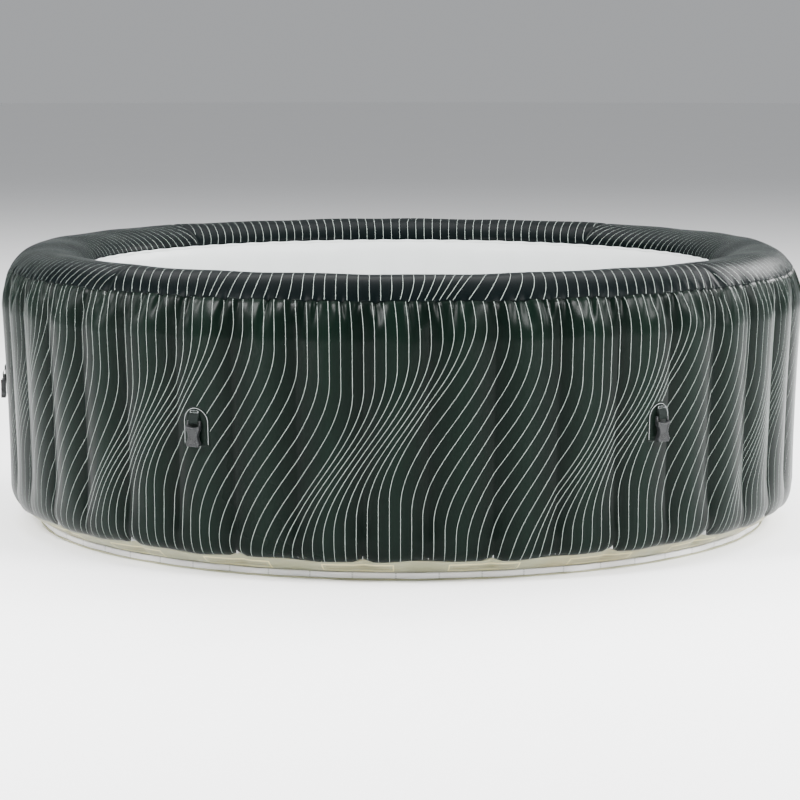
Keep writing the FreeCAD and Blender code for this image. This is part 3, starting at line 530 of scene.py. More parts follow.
def wall_outline():
    """Radius and height of the bulges' crests, from the base seam up to the rim seam."""
    turn = np.linspace(0.0, math.pi / 2.0, 24)
    foot = np.stack([BASE_SEAM_RADIUS + (WALL_FOOT_RADIUS - BASE_SEAM_RADIUS) * np.sin(turn),
                     WALL_FOOT_HEIGHT - (WALL_FOOT_HEIGHT - BASE_SEAM_HEIGHT) * np.cos(turn)], axis=1)
    share = np.linspace(0.0, 1.0, 40)[1:]
    side = np.stack([WALL_FOOT_RADIUS + (SHOULDER_RADIUS - WALL_FOOT_RADIUS) * share ** 1.6,
                     WALL_FOOT_HEIGHT + (SHOULDER_HEIGHT - WALL_FOOT_HEIGHT) * share], axis=1)
    turn = np.linspace(0.0, SEAM_TURN, 30)[1:]
    shoulder = np.stack([CREST_RADIUS + SHOULDER_OUT * np.cos(turn),
                         SHOULDER_HEIGHT + SHOULDER_RISE * np.sin(turn)], axis=1)
    return np.concatenate([foot, side, shoulder])


def rim_outline():
    """Radius and height over the rim, from the outer seam to the liner seam."""
    turn = np.linspace(SEAM_TURN, math.pi / 2.0, 30)
    outside = np.stack([CREST_RADIUS + SHOULDER_OUT * np.cos(turn),
                        SHOULDER_HEIGHT + SHOULDER_RISE * np.sin(turn)], axis=1)
    turn = np.linspace(math.pi / 2.0, math.pi, 30)[1:]
    inside = np.stack([CREST_RADIUS + (CREST_RADIUS - LINER_TOP_RADIUS) * np.cos(turn),
                       LINER_TOP + (RIM_HEIGHT - LINER_TOP) * np.sin(turn)], axis=1)
    return np.concatenate([outside, inside])


def measured(outline):
    """Length along an outline, and its outward normals."""
    steps = np.hypot(*np.diff(outline, axis=0).T)
    length = np.concatenate([[0.0], np.cumsum(steps)])
    slope = np.gradient(outline, length, axis=0)
    normal = np.stack([slope[:, 1], -slope[:, 0]], axis=1)
    return length, normal / np.linalg.norm(normal, axis=1)[:, None]


WALL_LINE = wall_outline()
WALL_LENGTH, WALL_NORMAL = measured(WALL_LINE)
RIM_LINE = rim_outline()
RIM_LENGTH, RIM_NORMAL = measured(RIM_LINE)


def along(line, length, normal, distance):
    """Radius, height and normal of an outline at a distance along it."""
    parts = [np.interp(distance, length, column) for column in (*line.T, *normal.T)]
    return parts


# ---- folds of the wall ------------------------------------------------------------
def make_puckers():
    """Short folds under the rim seam, a few to each cell, each with its own size and lean."""
    chance = random.Random(31)
    folds = []
    for cell in range(CELLS):
        count = chance.choice((4, 5, 5, 6))
        for index in range(count):
            share = (index + 0.5 + chance.uniform(-0.34, 0.34)) / count
            bearing = WEB_PHASE + (cell + share) * CELL
            depth = chance.uniform(0.003, 0.0135)
            width = chance.uniform(0.22, 0.50)
            length = 0.028 + depth * chance.uniform(4.0, 8.5)
            lean = chance.uniform(-0.8, 0.8)
            folds.append((bearing, depth, width, length, lean))
    return folds


PUCKERS = make_puckers()
SEAM_TUCK = 0.0016               # the top of the wall skin runs in under the edge of the rim


def pucker_depth(bearing, drop):
    """How far the folds sink the wall, at a distance down from the rim seam."""
    total = np.zeros_like(bearing)
    for middle, depth, width, length, lean in PUCKERS:
        share = np.clip(drop / length, 0.0, 1.0)
        gap = (bearing - middle - lean * share + 180.0) % 360.0 - 180.0
        fade = (1.0 - share) ** 2 * (0.5 + 2.6 * share)
        total += depth * fade * np.exp(-(gap / (width * (1.0 + share))) ** 2)
    return total


def seam_sway(bearing):
    """How far the folds pull the seam up or down."""
    turn = np.radians(bearing)
    slow = np.sin(turn * 19.0 + 0.4) + 0.7 * np.sin(turn * 43.0 + 2.0)
    return 0.0007 * slow - 0.42 * (pucker_depth(bearing, 0.0 * bearing) - 0.0018)


def crease_share(bearing):
    """0 on the crest of a bulge, 1 in the crease between two cells."""
    place = ((bearing - WEB_PHASE) / CELL) % 1.0
    return (2.0 * np.abs(place - 0.5)) ** 2.0


def wall_sink(bearing, height, drop):
    """Depth of the wall under its crest outline."""
    lower = 0.14 + 0.86 * ease((height - BASE_SEAM_HEIGHT) / 0.13)
    upper = ease(drop / 0.085) * 0.90 + 0.10
    sway = 1.0 + 0.16 * np.sin(np.radians(bearing) * 5.0 + 1.1) * np.sin(np.radians(bearing) * 13.0)
    crease = CREASE_DEPTH * lower * upper * sway * crease_share(bearing)
    swell = 0.0016 * np.exp(-((drop - 0.055) / 0.03) ** 2) * np.sin(np.radians(bearing) * 67.0 + 1.3)
    return crease + swell + pucker_depth(bearing, drop) + SEAM_TUCK * np.exp(-(drop / 0.006) ** 2)


def hem_rise(bearing, height):
    """The base seam is pulled up a little at every second crease."""
    place = ((bearing - WEB_PHASE) / CELL + 1.0) % 2.0
    gap = np.minimum(place, 2.0 - place) * CELL
    peak = 0.0080 * np.clip(1.0 - gap / 1.35, 0.0, 1.0)
    wander = 0.0022 * np.sin(np.radians(bearing) * 17.0 + 0.7) + 0.0012 * np.sin(np.radians(bearing) * 41.0)
    return (peak + wander) * (1.0 - ease((height - BASE_SEAM_HEIGHT) / 0.05))


def beyond_unit(bearing, height):
    """Distance outside the rounded opening for the control unit, less than 0 inside it."""
    turn = np.radians(bearing - 180.0)
    near_back = np.cos(turn) > 0.0
    across = np.abs(1.02 * np.sin(turn)) - (UNIT_HALF_WIDTH - UNIT_CORNER)
    middle = (UNIT_TOP + UNIT_BOTTOM) / 2.0
    upward = np.abs(height - middle) - ((UNIT_TOP - UNIT_BOTTOM) / 2.0 - UNIT_CORNER)
    corner = np.hypot(np.maximum(across, 0.0), np.maximum(upward, 0.0))
    gap = corner + np.minimum(np.maximum(across, upward), 0.0) - UNIT_CORNER
    return np.where(near_back, gap, 1.0)


def wall_point(bearing, distance, lift=0.0):
    """Points on the wall, at bearings and at distances up along its outline."""
    radius, height, out, up = along(WALL_LINE, WALL_LENGTH, WALL_NORMAL, distance)
    drop = WALL_LENGTH[-1] - distance
    sink = wall_sink(bearing, height, drop)
    tuck = 1.0 - ease((beyond_unit(bearing, height) - 0.001) / 0.034)
    reach = radius - sink * out
    reach += (np.minimum(UNDER_FLANGE, reach) - reach) * tuck
    rise = hem_rise(bearing, height) + seam_sway(bearing) * (1.0 - ease(drop / 0.04))
    return polar(bearing, reach + lift * out, height - sink * up * (1.0 - tuck) + lift * up + rise)


def distance_at(height):
    """Distance up the wall's outline at a height."""
    return np.interp(height, WALL_LINE[:, 1], WALL_LENGTH)


# ---- printed lines, on one flat repeat of the sheet ---------------------------------
REPEATS = 11
REPEAT_LINES = 23
REPEAT_TURN = 360.0 / REPEATS
WAVE_SHIFT = 11.0
WAVE_LENGTH = 0.418
WAVE_LOW = 0.228
WAVE_HIGH = 0.408
TIGHT_LINES = 11
FIRST_LINE = -17.2
LINE_WIDTH = 0.0007
DEGREE_LENGTH = math.radians(1.0) * 1.018


def wave_place(index):
    """Height at which a line's wave is steepest: it climbs over the tight lines and drops over the others."""
    index = index % REPEAT_LINES
    if index <= TIGHT_LINES:
        return WAVE_LOW + (WAVE_HIGH - WAVE_LOW) * index / TIGHT_LINES
    return WAVE_HIGH - (WAVE_HIGH - WAVE_LOW) * (index - TIGHT_LINES) / (REPEAT_LINES - TIGHT_LINES)


def line_bearing(index, height):
    """Bearing of a printed line at heights on the wall."""
    share = (height - wave_place(index)) / WAVE_LENGTH + 0.5
    top = np.clip((height - 0.56) / 0.09, 0.0, 1.0)
    return FIRST_LINE + index * REPEAT_TURN / REPEAT_LINES + WAVE_SHIFT * ease(share) - 0.45 * top * top


def runs_of(wanted):
    """Slices over the unbroken runs of wanted points, 4 long or more."""
    marks = np.flatnonzero(np.diff(np.concatenate([[0], wanted.astype(int), [0]])))
    return [slice(first, last) for first, last in zip(marks[::2], marks[1::2]) if last - first >= 4]


def lay_line(mesh, surface, bearing, distance, width=LINE_WIDTH, lift=0.0005):
    """Adds one printed line on a skin, given by its place along the skin's outline."""
    points = surface(bearing, distance, lift)
    flow = np.gradient(points, axis=0)
    flow /= np.linalg.norm(flow, axis=1)[:, None]
    outward = surface(bearing, distance, lift + 0.001) - points
    cross = np.cross(flow, outward)
    cross /= np.linalg.norm(cross, axis=1)[:, None]
    ribbon(mesh, points.tolist(), cross.tolist(), width)


def ribbon(mesh, points, sides, width):
    """Adds one printed line: a strip of the given width along points, across the sides' direction."""
    made = bmesh.ops.create_grid(mesh, x_segments=len(points) - 1, y_segments=1, size=0.5)
    for vertex in made["verts"]:
        index = int(round((vertex.co.x + 0.5) * (len(points) - 1)))
        vertex.co = Vector(points[index]) + Vector(sides[index]) * (width * vertex.co.y)


# ---- soft shell ---------------------------------------------------------------------
def cut_unit_opening(mesh):
    """Removes the wall skin behind the control unit, up to just under its flange."""
    middles = np.array([face.calc_center_median() for face in mesh.faces])
    bearing = np.degrees(np.arctan2(middles[:, 0], -middles[:, 1])) % 360.0
    inside = beyond_unit(bearing, middles[:, 2]) < -0.004
    hidden = [face for face, gone in zip(list(mesh.faces), inside) if gone]
    bmesh.ops.delete(mesh, geom=hidden, context="FACES")


def build_wall():
    """The printed wall skin in six sectors of seven cells, and the lines printed on it."""
    total = WALL_LENGTH[-1]
    for sector in range(SECTORS):
        start = WEB_PHASE + sector * CELLS_PER_SECTOR * CELL
        sweep = CELLS_PER_SECTOR * CELL

        def shape(u, v):
            bearing = start + sweep * u
            distance = total * (1.0 - (1.0 - v) ** 1.35)
            return wall_point(bearing, distance)

        mesh = sheet_mesh(CELLS_PER_SECTOR * 38, 120, shape)
        if 120.0 < start + sweep / 2.0 < 240.0:
            cut_unit_opening(mesh)
        bmesh.ops.recalc_face_normals(mesh, faces=mesh.faces)
        skin = piece_from(mesh, "wall_skin_%d" % (sector + 1), WALL)
        if sector:
            finish_piece(skin, "tub", "printed_skin")
        else:
            finish_piece(skin, "tub", "printed_skin", "outer_wall")

    heights = np.linspace(BASE_SEAM_HEIGHT + 0.002, SEAM_HEIGHT - 0.001, 96)
    distance = distance_at(heights)
    for group in range(REPEATS):
        mesh = bmesh.new()
        for index in range(group * REPEAT_LINES, (group + 1) * REPEAT_LINES):
            bearing = line_bearing(index, heights)
            clear = beyond_unit(bearing % 360.0, heights) > 0.001
            for run in runs_of(clear):
                lay_line(mesh, wall_point, bearing[run], distance[run])
        finish_piece(piece_from(mesh, "wall_print_%d" % (group + 1), INK), "tub", "printed_skin")


def rim_sink(bearing, distance):
    """Depth of the rim skin under its outline: joints, the pull of the seam and slight slackness."""
    total = RIM_LENGTH[-1]
    sink = 0.55 * pucker_depth(bearing, 0.0 * bearing) * np.exp(-distance / 0.009)
    for joint in RIM_JOINTS[:-1]:
        gap = (bearing - joint + 180.0) % 360.0 - 180.0
        sink = sink + 0.0034 * np.exp(-(gap / 0.40) ** 2)
    sink = sink + 0.0022 * crease_share(bearing) * np.exp(-distance / 0.05)
    sink = sink + 0.0012 * crease_share(bearing) * np.exp((distance - total) / 0.03)
    sway = np.sin(np.radians(bearing) * 9.0 + 0.6) + np.sin(np.radians(bearing) * 23.0 + distance * 30.0)
    return sink + 0.0008 * sway * np.sin(distance / total * math.pi)


def rim_point(bearing, distance, lift=0.0):
    """Points on the rim, at bearings and at distances in over its outline from the outer seam."""
    radius, height, out, up = along(RIM_LINE, RIM_LENGTH, RIM_NORMAL, distance)
    sink = rim_sink(bearing, distance) - lift
    rise = seam_sway(bearing) * (1.0 - ease(distance / 0.035))
    return polar(bearing, radius - sink * out, height - sink * up + rise)


# Each rim panel is cut from a flat sheet as an arc that turns through less than the panel does.
RIM_SHEET_TURN = 0.5695          # degrees on the sheet for each degree round the tub
RIM_SHEET_EDGE = 1.763           # radius of the arc's outer edge on the sheet
RIM_PRINT_LEVEL = 0.450          # height on the print that falls on the outer edge at mid panel
RIM_PRINT_SHIFT = [-0.34, -0.12, 0.05, -0.22]


def build_rim():
    total = RIM_LENGTH[-1]
    step = math.radians(REPEAT_TURN / REPEAT_LINES) * 1.018
    for panel in range(4):
        start = RIM_JOINTS[panel]
        sweep = RIM_JOINTS[panel + 1] - start

        def shape(u, v):
            return rim_point(start + sweep * u, total * v)

        mesh = sheet_mesh(340, 60, shape)
        bmesh.ops.recalc_face_normals(mesh, faces=mesh.faces)
        name = "rim_panel_%d" % (panel + 1)
        finish_piece(piece_from(mesh, "rim_skin_%d" % (panel + 1), RIM), "tub", "printed_skin", name)

        # the lines run straight across the flat sheet that the arc was cut from
        mesh = bmesh.new()
        outward = np.linspace(RIM_SHEET_EDGE, 1.15, 400)
        level = RIM_PRINT_LEVEL + RIM_SHEET_EDGE - outward
        for index in range(-50, 60):
            wave = ease((level - wave_place(index)) / WAVE_LENGTH + 0.5)
            side = RIM_PRINT_SHIFT[panel] + index * step + WAVE_SHIFT * DEGREE_LENGTH * wave
            distance = RIM_SHEET_EDGE - np.hypot(side, outward)
            turn = np.degrees(np.arctan2(side, outward)) / RIM_SHEET_TURN
            on_panel = (distance > 0.001) & (distance < total - 0.002) & (np.abs(turn) < sweep / 2.0 - 0.3)
            for run in runs_of(on_panel):
                picks = slice(run.start, run.stop, 4)
                if len(turn[picks]) > 3:
                    lay_line(mesh, rim_point, start + sweep / 2.0 + turn[picks], distance[picks])
        finish_piece(piece_from(mesh, "rim_print_%d" % (panel + 1), INK), "tub", "printed_skin")


def closed_ring(columns, rows, section):
    """A closed ring whose section, as radius and height, may change with the bearing."""

    def shape(u, v):
        radius, height = section(360.0 * u, 2.0 * math.pi * v)
        return polar(360.0 * u, radius, height)

    mesh = sheet_mesh(columns, rows, shape, closed=True)
    bmesh.ops.recalc_face_normals(mesh, faces=mesh.faces)
    return mesh


def build_seams():
    def outer(bearing, turn):
        sink = pucker_depth(bearing, 0.0 * bearing) * 0.7 + 0.0030
        radius, height, out, up = along(WALL_LINE, WALL_LENGTH, WALL_NORMAL, WALL_LENGTH[-1] + 0.0 * bearing)
        rise = seam_sway(bearing) - sink * up
        return radius - sink * out + 0.0016 * np.cos(turn), height + rise + 0.0022 * np.sin(turn)

    finish_piece(piece_from(closed_ring(1800, 8, outer), "outer_seam_weld", SEAM), "tub", "printed_skin",
                 "outer_rim_seam")

    def inner(bearing, turn):
        ripple = 0.0007 * np.sin(np.radians(bearing) * 77.0)
        return LINER_TOP_RADIUS + 0.0018 * np.cos(turn), LINER_TOP + ripple + 0.0042 * np.sin(turn)

    finish_piece(piece_from(closed_ring(900, 8, inner), "inner_seam_weld", LINER), "tub", "liner_white",
                 "inner_rim_seam")


def build_rim_joints():
    """The dark overlap where two rim panels are welded."""
    total = RIM_LENGTH[-1]
    mesh = bmesh.new()
    for joint in RIM_JOINTS[:-1]:
        distance = np.linspace(0.002, total - 0.002, 60)
        bearing = joint + 0.05 * np.sin(distance * 60.0)
        lay_line(mesh, rim_point, bearing, distance, width=0.0040, lift=0.0007)
    finish_piece(piece_from(mesh, "rim_joint_welds", SEAM), "tub", "printed_skin")


def build_liner():
    """The white liner wall, bulging towards the water between its webs."""

    def shape(u, v):
        bearing = 360.0 * u
        height = FLOOR_TOP + (LINER_TOP - FLOOR_TOP) * v
        lead = np.clip((height - (LINER_TOP - 0.082)) / 0.082, 0.0, 1.0)
        radius = LINER_RADIUS + (LINER_TOP_RADIUS - LINER_RADIUS) * (1.0 - np.sqrt(1.0 - lead ** 2))
        fade = ease((LINER_TOP - height) / 0.14) * (0.3 + 0.7 * ease((height - FLOOR_TOP) / 0.08))
        crease = 0.5 + 0.5 * np.cos(np.radians((bearing - WEB_PHASE) * CELLS))
        sink = 0.0055 * crease ** 1.5 * fade
        near_top = np.exp((height - LINER_TOP) / 0.03)
        wave = 0.0008 * np.sin(np.radians(bearing) * 63.0 + height * 9.0) * near_top
        return polar(bearing, radius + sink - wave, height)

    mesh = sheet_mesh(CELLS * 18, 54, shape, closed=True)
    bmesh.ops.recalc_face_normals(mesh, faces=mesh.faces)
    bmesh.ops.reverse_faces(mesh, faces=mesh.faces)
    finish_piece(piece_from(mesh, "liner_wall_skin", LINER), "tub", "liner_white", "inner_liner_wall")


def build_base():
    inside = STRIP_RADIUS - 0.004

    def skin(u, v):
        bearing = 360.0 * u
        radius = inside + (BASE_SEAM_RADIUS - inside) * v
        height = STRIP_TOP + (BASE_SEAM_HEIGHT - STRIP_TOP) * v
        billow = 0.004 * np.sin(v * math.pi) * (1.0 - 0.5 * crease_share(bearing))
        height = height - billow + hem_rise(bearing, BASE_SEAM_HEIGHT + 0.0 * v) * ease(v * 1.15)
        return polar(bearing, radius + billow * 0.6, height)

    mesh = sheet_mesh(CELLS * 24, 16, skin, closed=True)
    bmesh.ops.recalc_face_normals(mesh, faces=mesh.faces)
    finish_piece(piece_from(mesh, "base_skin_soft", BASE), "tub", "base_cream", "base_skin")

    def strip(bearing, turn):
        wave = 0.0008 * np.sin(np.radians(bearing) * 31.0) + 0.0006 * np.sin(np.radians(bearing) * 59.0)
        middle = (STRIP_TOP + MAT_TOP) / 2.0
        half = (STRIP_TOP - MAT_TOP) / 2.0
        section = np.abs(np.cos(turn)) ** 0.5 * np.sign(np.cos(turn))
        rise = np.abs(np.sin(turn)) ** 0.6 * np.sign(np.sin(turn))
        return STRIP_RADIUS - 0.002 + wave + 0.002 * section, middle + half * rise

    finish_piece(piece_from(closed_ring(900, 12, strip), "foot_weld_strip", STRIP), "tub", "weld_white",
                 "base_weld_strip")

    mesh = bmesh.new()
    bmesh.ops.create_cone(mesh, cap_ends=True, segments=512, radius1=MAT_RADIUS, radius2=MAT_RADIUS,
                          depth=MAT_TOP, matrix=Matrix.Translation((0.0, 0.0, MAT_TOP / 2.0)))
    rims = [edge for edge in mesh.edges if len(edge.link_faces) == 2 and
            any(len(face.verts) > 4 for face in edge.link_faces)]
    bmesh.ops.bevel(mesh, geom=rims, offset=0.0012, offset_type="OFFSET", segments=3, profile=0.5,
                    affect="EDGES", material=-1)
    for face in [face for face in mesh.faces if len(face.verts) > 4]:
        for step in range(3):
            bmesh.ops.inset_region(mesh, faces=[face], thickness=0.05 * (step + 1), use_even_offset=True)
    finish_piece(piece_from(mesh, "foam_mat", MAT, smooth=False), "tub", "foam_mat", "ground_mat")


def build_floor():
    """The inner floor: one sheet, slightly pillowed between concentric welds."""

    def shape(u, v):
        bearing = 360.0 * u
        radius = FLOOR_RADIUS * v
        pillow = 0.0016 * np.abs(np.sin(radius / 0.10 * math.pi)) * (radius < LINER_RADIUS - 0.03)
        return polar(bearing, radius, FLOOR_TOP - 0.0008 + pillow)

    mesh = sheet_mesh(220, 110, shape, closed=True)
    bmesh.ops.recalc_face_normals(mesh, faces=mesh.faces)
    top = max(mesh.faces, key=lambda face: face.calc_area())
    if top.normal.z < 0:
        bmesh.ops.reverse_faces(mesh, faces=mesh.faces)
    finish_piece(piece_from(mesh, "floor_skin", FLOOR), "tub", "liner_white", "floor_sheet")


# ---- lid buckles --------------------------------------------------------------------
PATCH_HALF = 0.037
PATCH_BOTTOM = 0.306
PATCH_TOP = 0.398
BAR_HEIGHT = BUCKLE_PLACES[0][2]
BAR_REACH = math.hypot(BUCKLE_PLACES[0][0], BUCKLE_PLACES[0][1])
STRAP_HALF = 0.0125
STRAP_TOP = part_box("strap_loop_4")[1][2]
STRAP_THICKNESS = 0.0015
LOOP_RADIUS = 0.0027


def build_patch(index, bearing):
    """Arch-topped patch that follows the bulge of the wall, pressed thin at its edge."""
    arch = PATCH_TOP - PATCH_HALF

    def shape(u, v):
        across = (2.0 * u - 1.0) * 0.999
        side = PATCH_HALF * across
        top = arch + PATCH_HALF * np.sqrt(1.0 - across ** 2)
        height = PATCH_BOTTOM + (top - PATCH_BOTTOM) * v
        from_ends = np.minimum(top - height, height - PATCH_BOTTOM)
        edge = np.minimum(PATCH_HALF * (1.0 - np.abs(across)), from_ends)
        raised = 0.0004 + 0.0011 * ease(edge / 0.0022) + 0.0012 * ease((edge - 0.008) / 0.004)
        return wall_point(bearing + np.degrees(side / 1.018), distance_at(height), raised)

    mesh = sheet_mesh(44, 52, shape)
    bmesh.ops.recalc_face_normals(mesh, faces=mesh.faces)
    out = polar(np.array([bearing]), np.array([1.0]), np.array([0.0]))[0]
    probe = max(mesh.faces, key=lambda face: face.calc_area())
    if probe.normal.dot(Vector(out)) < 0.0:
        bmesh.ops.reverse_faces(mesh, faces=mesh.faces)
    patch = piece_from(mesh, "buckle_patch_%d" % (index + 1), PATCH)
    if index:
        finish_piece(patch, "tub", "printed_skin")
    else:
        finish_piece(patch, "tub", "printed_skin", "buckle_patches")


def patch_weld_edge(index, bearing):
    """The pale pressed line round the patch."""
    half = PATCH_HALF - 0.0045
    arch = PATCH_TOP - PATCH_HALF
    turn = np.linspace(0.0, math.pi, 40)
    side = np.concatenate([np.full(20, half), half * np.cos(turn), np.full(20, -half)])
    legs = np.linspace(PATCH_BOTTOM + 0.005, arch, 20, endpoint=False)
    height = np.concatenate([legs, arch + half * np.sin(turn), legs[::-1]])
    mesh = bmesh.new()
    lay_line(mesh, wall_point, bearing + np.degrees(side / 1.018), distance_at(height), 0.0009, 0.0022)
    finish_piece(piece_from(mesh, "patch_weld_edge_%d" % (index + 1), THREAD), "tub", "printed_skin")


def strap_path():
    """Reach from the axis and height along the webbing: down the back, round the bar and up the front."""
    back = BAR_REACH - LOOP_RADIUS - STRAP_THICKNESS / 2.0
    front = BAR_REACH + LOOP_RADIUS + STRAP_THICKNESS / 2.0
    points = [(back, STRAP_TOP - step * (STRAP_TOP - BAR_HEIGHT) / 10.0) for step in range(10)]
    for step in range(13):
        turn = math.pi + math.pi * step / 12.0
        radius = LOOP_RADIUS + STRAP_THICKNESS / 2.0
        points.append((BAR_REACH + radius * math.cos(turn), BAR_HEIGHT + radius * math.sin(turn)))
    points += [(front, BAR_HEIGHT + 0.004), (front, BAR_HEIGHT + 0.008)]
    lap = back + STRAP_THICKNESS
    for step in range(1, 5):
        share = step / 4.0
        reach = front + (lap - front) * share * share * (3 - 2 * share)
        points.append((reach, BAR_HEIGHT + 0.008 + 0.012 * share))
    points.append((lap, STRAP_TOP))
    return points


def build_strap(index, bearing):
    path = np.array(strap_path())
    columns = 8

    def shape(u, v):
        place = v * (len(path) - 1)
        reach = np.interp(place, np.arange(len(path)), path[:, 0])
        height = np.interp(place, np.arange(len(path)), path[:, 1])
        return np.stack([STRAP_HALF * (2.0 * u - 1.0), reach, height], axis=1)

    mesh = sheet_mesh(columns, len(path) - 1, shape)
    layer = mesh.loops.layers.uv.new("weave")
    run = np.concatenate([[0.0], np.cumsum(np.hypot(*np.diff(path, axis=0).T))])
    mesh.verts.ensure_lookup_table()
    for vertex in mesh.verts:
        row = vertex.index // (columns + 1)
        for loop in vertex.link_loops:
            loop[layer].uv = (vertex.co.x + STRAP_HALF, run[row])
    bmesh.ops.transform(mesh, matrix=to_bearing(bearing), verts=mesh.verts)
    webbing_piece = piece_from(mesh, "strap_webbing_%d" % (index + 1), WEBBING)
    thick = webbing_piece.modifiers.new("webbing_thickness", "SOLIDIFY")
    thick.thickness = STRAP_THICKNESS * 0.96
    thick.offset = 0.0
    finish_piece(webbing_piece, "tub", "webbing", "strap_loop_%d" % (index + 1))

    # box of stitches that holds the lap
    mesh = bmesh.new()
    low = BAR_HEIGHT + 0.0215
    high = STRAP_TOP - 0.002
    half = STRAP_HALF - 0.0022
    corners = [(-half, low), (half, low), (half, high), (-half, high), (-half, low)]
    front = path[-1][0] + STRAP_THICKNESS * 0.72
    for (x0, z0), (x1, z1) in zip(corners, corners[1:]):
        count = max(3, int(round(math.hypot(x1 - x0, z1 - z0) / 0.003)))
        lean = math.atan2(z1 - z0, x1 - x0)
        for step in range(count):
            share = (step + 0.5) / count
            place = Matrix.Translation((x0 + (x1 - x0) * share, front, z0 + (z1 - z0) * share))
            size = Matrix.Diagonal((0.0012, 0.00045, 0.00045, 1.0))
            turned = place @ Matrix.Rotation(-lean, 4, "Y") @ size
            bmesh.ops.create_icosphere(mesh, subdivisions=1, radius=1.0, matrix=turned)
    bmesh.ops.transform(mesh, matrix=to_bearing(bearing), verts=mesh.verts)
    finish_piece(piece_from(mesh, "strap_stitches_%d" % (index + 1), THREAD), "tub", "webbing")


def plate_from(outline, y, depth, bevel):
    """A flat plate across Y from an outline of x and z, with its rims rounded."""
    mesh = bmesh.new()
    corners = [mesh.verts.new((x, y, z)) for x, z in outline]
    face = mesh.faces.new(corners)
    grown = bmesh.ops.extrude_face_region(mesh, geom=[face])
    moved = [item for item in grown["geom"] if isinstance(item, bmesh.types.BMVert)]
    bmesh.ops.translate(mesh, verts=moved, vec=(0.0, depth, 0.0))
    bmesh.ops.recalc_face_normals(mesh, faces=mesh.faces)
    if bevel:
        rims = [edge for edge in mesh.edges if abs(edge.verts[0].co.y - edge.verts[1].co.y) < 1e-7]
        bmesh.ops.bevel(mesh, geom=rims, offset=bevel, offset_type="OFFSET", segments=3, profile=0.5,
                        affect="EDGES", material=-1)
    return mesh


def add_box(mesh, low, high, bevel):
    size = [b - a for a, b in zip(low, high)]
    middle = [(a + b) / 2.0 for a, b in zip(low, high)]
    place = Matrix.Translation(middle) @ Matrix.Diagonal((*size, 1.0))
    made = bmesh.ops.create_cube(mesh, size=1.0, matrix=place)
    edges = list({edge for vertex in made["verts"] for edge in vertex.link_edges})
    bmesh.ops.bevel(mesh, geom=edges, offset=bevel, offset_type="OFFSET", segments=2, profile=0.5,
                    affect="EDGES", material=-1)


BUCKLE_HALF = 0.018
BUCKLE_WAIST = 0.0125
BUCKLE_TOP = 0.354
BUCKLE_BOTTOM = 0.306
BUCKLE_THICKNESS = 0.012


def buckle_outline(inset):
    """Half turn of the waisted sides, as a closed list of x and z."""
    top = BUCKLE_TOP - inset
    bottom = BUCKLE_BOTTOM + inset
    half = BUCKLE_HALF - inset
    waist = BUCKLE_WAIST - inset
    right = []
    for step in range(13):
        share = step / 12.0
        dip = math.sin(share * math.pi) ** 0.8
        right.append((half - (half - waist) * dip, top - 0.008 + (bottom + 0.008 - top + 0.008) * share))
    right.append((half - 0.003, bottom))
    brow = []
    for step in range(9):
        share = -1.0 + step / 4.0
        brow.append((half * share, top - 0.004 * (1.0 - share * share)))
    left = [(-x, z) for x, z in reversed(right)]
    return brow + right + left


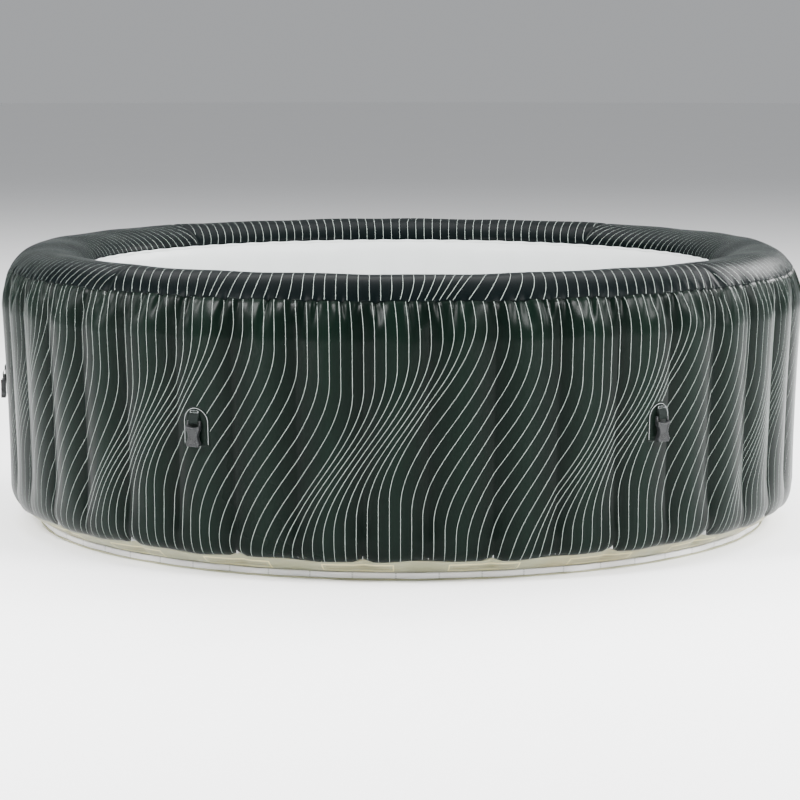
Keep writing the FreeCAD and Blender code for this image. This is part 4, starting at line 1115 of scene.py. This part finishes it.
def build_buckle(index, bearing):
    back = BAR_REACH - 0.003
    mesh = plate_from(buckle_outline(0.0), back, BUCKLE_THICKNESS, 0.0016)
    mouth = [face for face in mesh.faces if face.normal.z < -0.95 and face.calc_area() > 1e-4]
    if mouth:
        bmesh.ops.inset_region(mesh, faces=mouth, thickness=0.0022, use_even_offset=True)
        corners = list({vertex for face in mouth for vertex in face.verts})
        bmesh.ops.translate(mesh, verts=corners, vec=(0.0, 0.0, 0.026))
    front = [face for face in mesh.faces if face.normal.y > 0.99 and face.calc_area() > 4e-4]
    if front:
        bmesh.ops.inset_region(mesh, faces=front, thickness=0.0024, use_even_offset=True)
        bmesh.ops.inset_region(mesh, faces=front, thickness=0.0007, depth=-0.0009, use_even_offset=True)
    for step in range(4):
        height = BUCKLE_BOTTOM + 0.0075 + 0.0034 * step
        add_box(mesh, (-0.0085, back + BUCKLE_THICKNESS - 0.0012, height),
                (0.0085, back + BUCKLE_THICKNESS + 0.0003, height + 0.0014), 0.0004)
    for side in (-1.0, 1.0):
        low = min(side * (STRAP_HALF + 0.001), side * BUCKLE_HALF)
        high = max(side * (STRAP_HALF + 0.001), side * BUCKLE_HALF)
        add_box(mesh, (low, back, BUCKLE_TOP - 0.006), (high, BAR_REACH + 0.003, BAR_HEIGHT + 0.003), 0.0011)
    across = Matrix.Translation((0.0, BAR_REACH, BAR_HEIGHT)) @ Matrix.Rotation(math.radians(90.0), 4, "Y")
    bmesh.ops.create_cone(mesh, cap_ends=True, segments=24, radius1=0.0022, radius2=0.0022, depth=0.034,
                          matrix=across)
    bmesh.ops.transform(mesh, matrix=to_bearing(bearing), verts=mesh.verts)
    name = "buckle_%d" % (index + 1)
    made = piece_from(mesh, "buckle_socket_%d" % (index + 1), BUCKLE, smooth=False)
    finish_piece(made, name, "buckle_plastic", name)


def build_buckles():
    for index, bearing in enumerate(BUCKLE_BEARINGS):
        build_patch(index, bearing)
        patch_weld_edge(index, bearing)
        build_strap(index, bearing)
        build_buckle(index, bearing)


# ---- finishes of the parts that keep their shape ---------------------------------------
def finish_nodes():
    groups = {
        CASING: ["unit_housing", "rear_cover", "intake_grille", "pump_volute", "blower_case",
                 "inflation_hose_port", "controller_socket", "controller_socket_cap", "power_cord_gland"],
        FITTING: ["pump_impeller", "discharge_pipe", "return_pipe", "suction_pipe", "air_pipe", "blower_fan",
                  "wet_face", "outlet_nozzle", "filter_cage", "inflation_valve_body", "inflation_valve_cap",
                  "inflation_valve_plunger", "relief_valve_body", "relief_valve_poppet", "drain_fitting",
                  "drain_plug"],
        STEEL: ["cover_screws", "heater_tube", "heater_element"],
        MOTOR: ["pump_motor"],
        PAPER: ["filter_cartridge"],
        BOARD: ["control_board"],
        WEB: ["wall_webs"],
        LINER: ["bubble_ring"],
    }
    for material, names in groups.items():
        for name in names:
            slots = frame["nodes"][name].data.materials
            slots.clear()
            slots.append(material)


studio()
build_wall()
build_rim()
build_seams()
build_rim_joints()
build_liner()
build_base()
build_floor()
build_buckles()
finish_nodes()
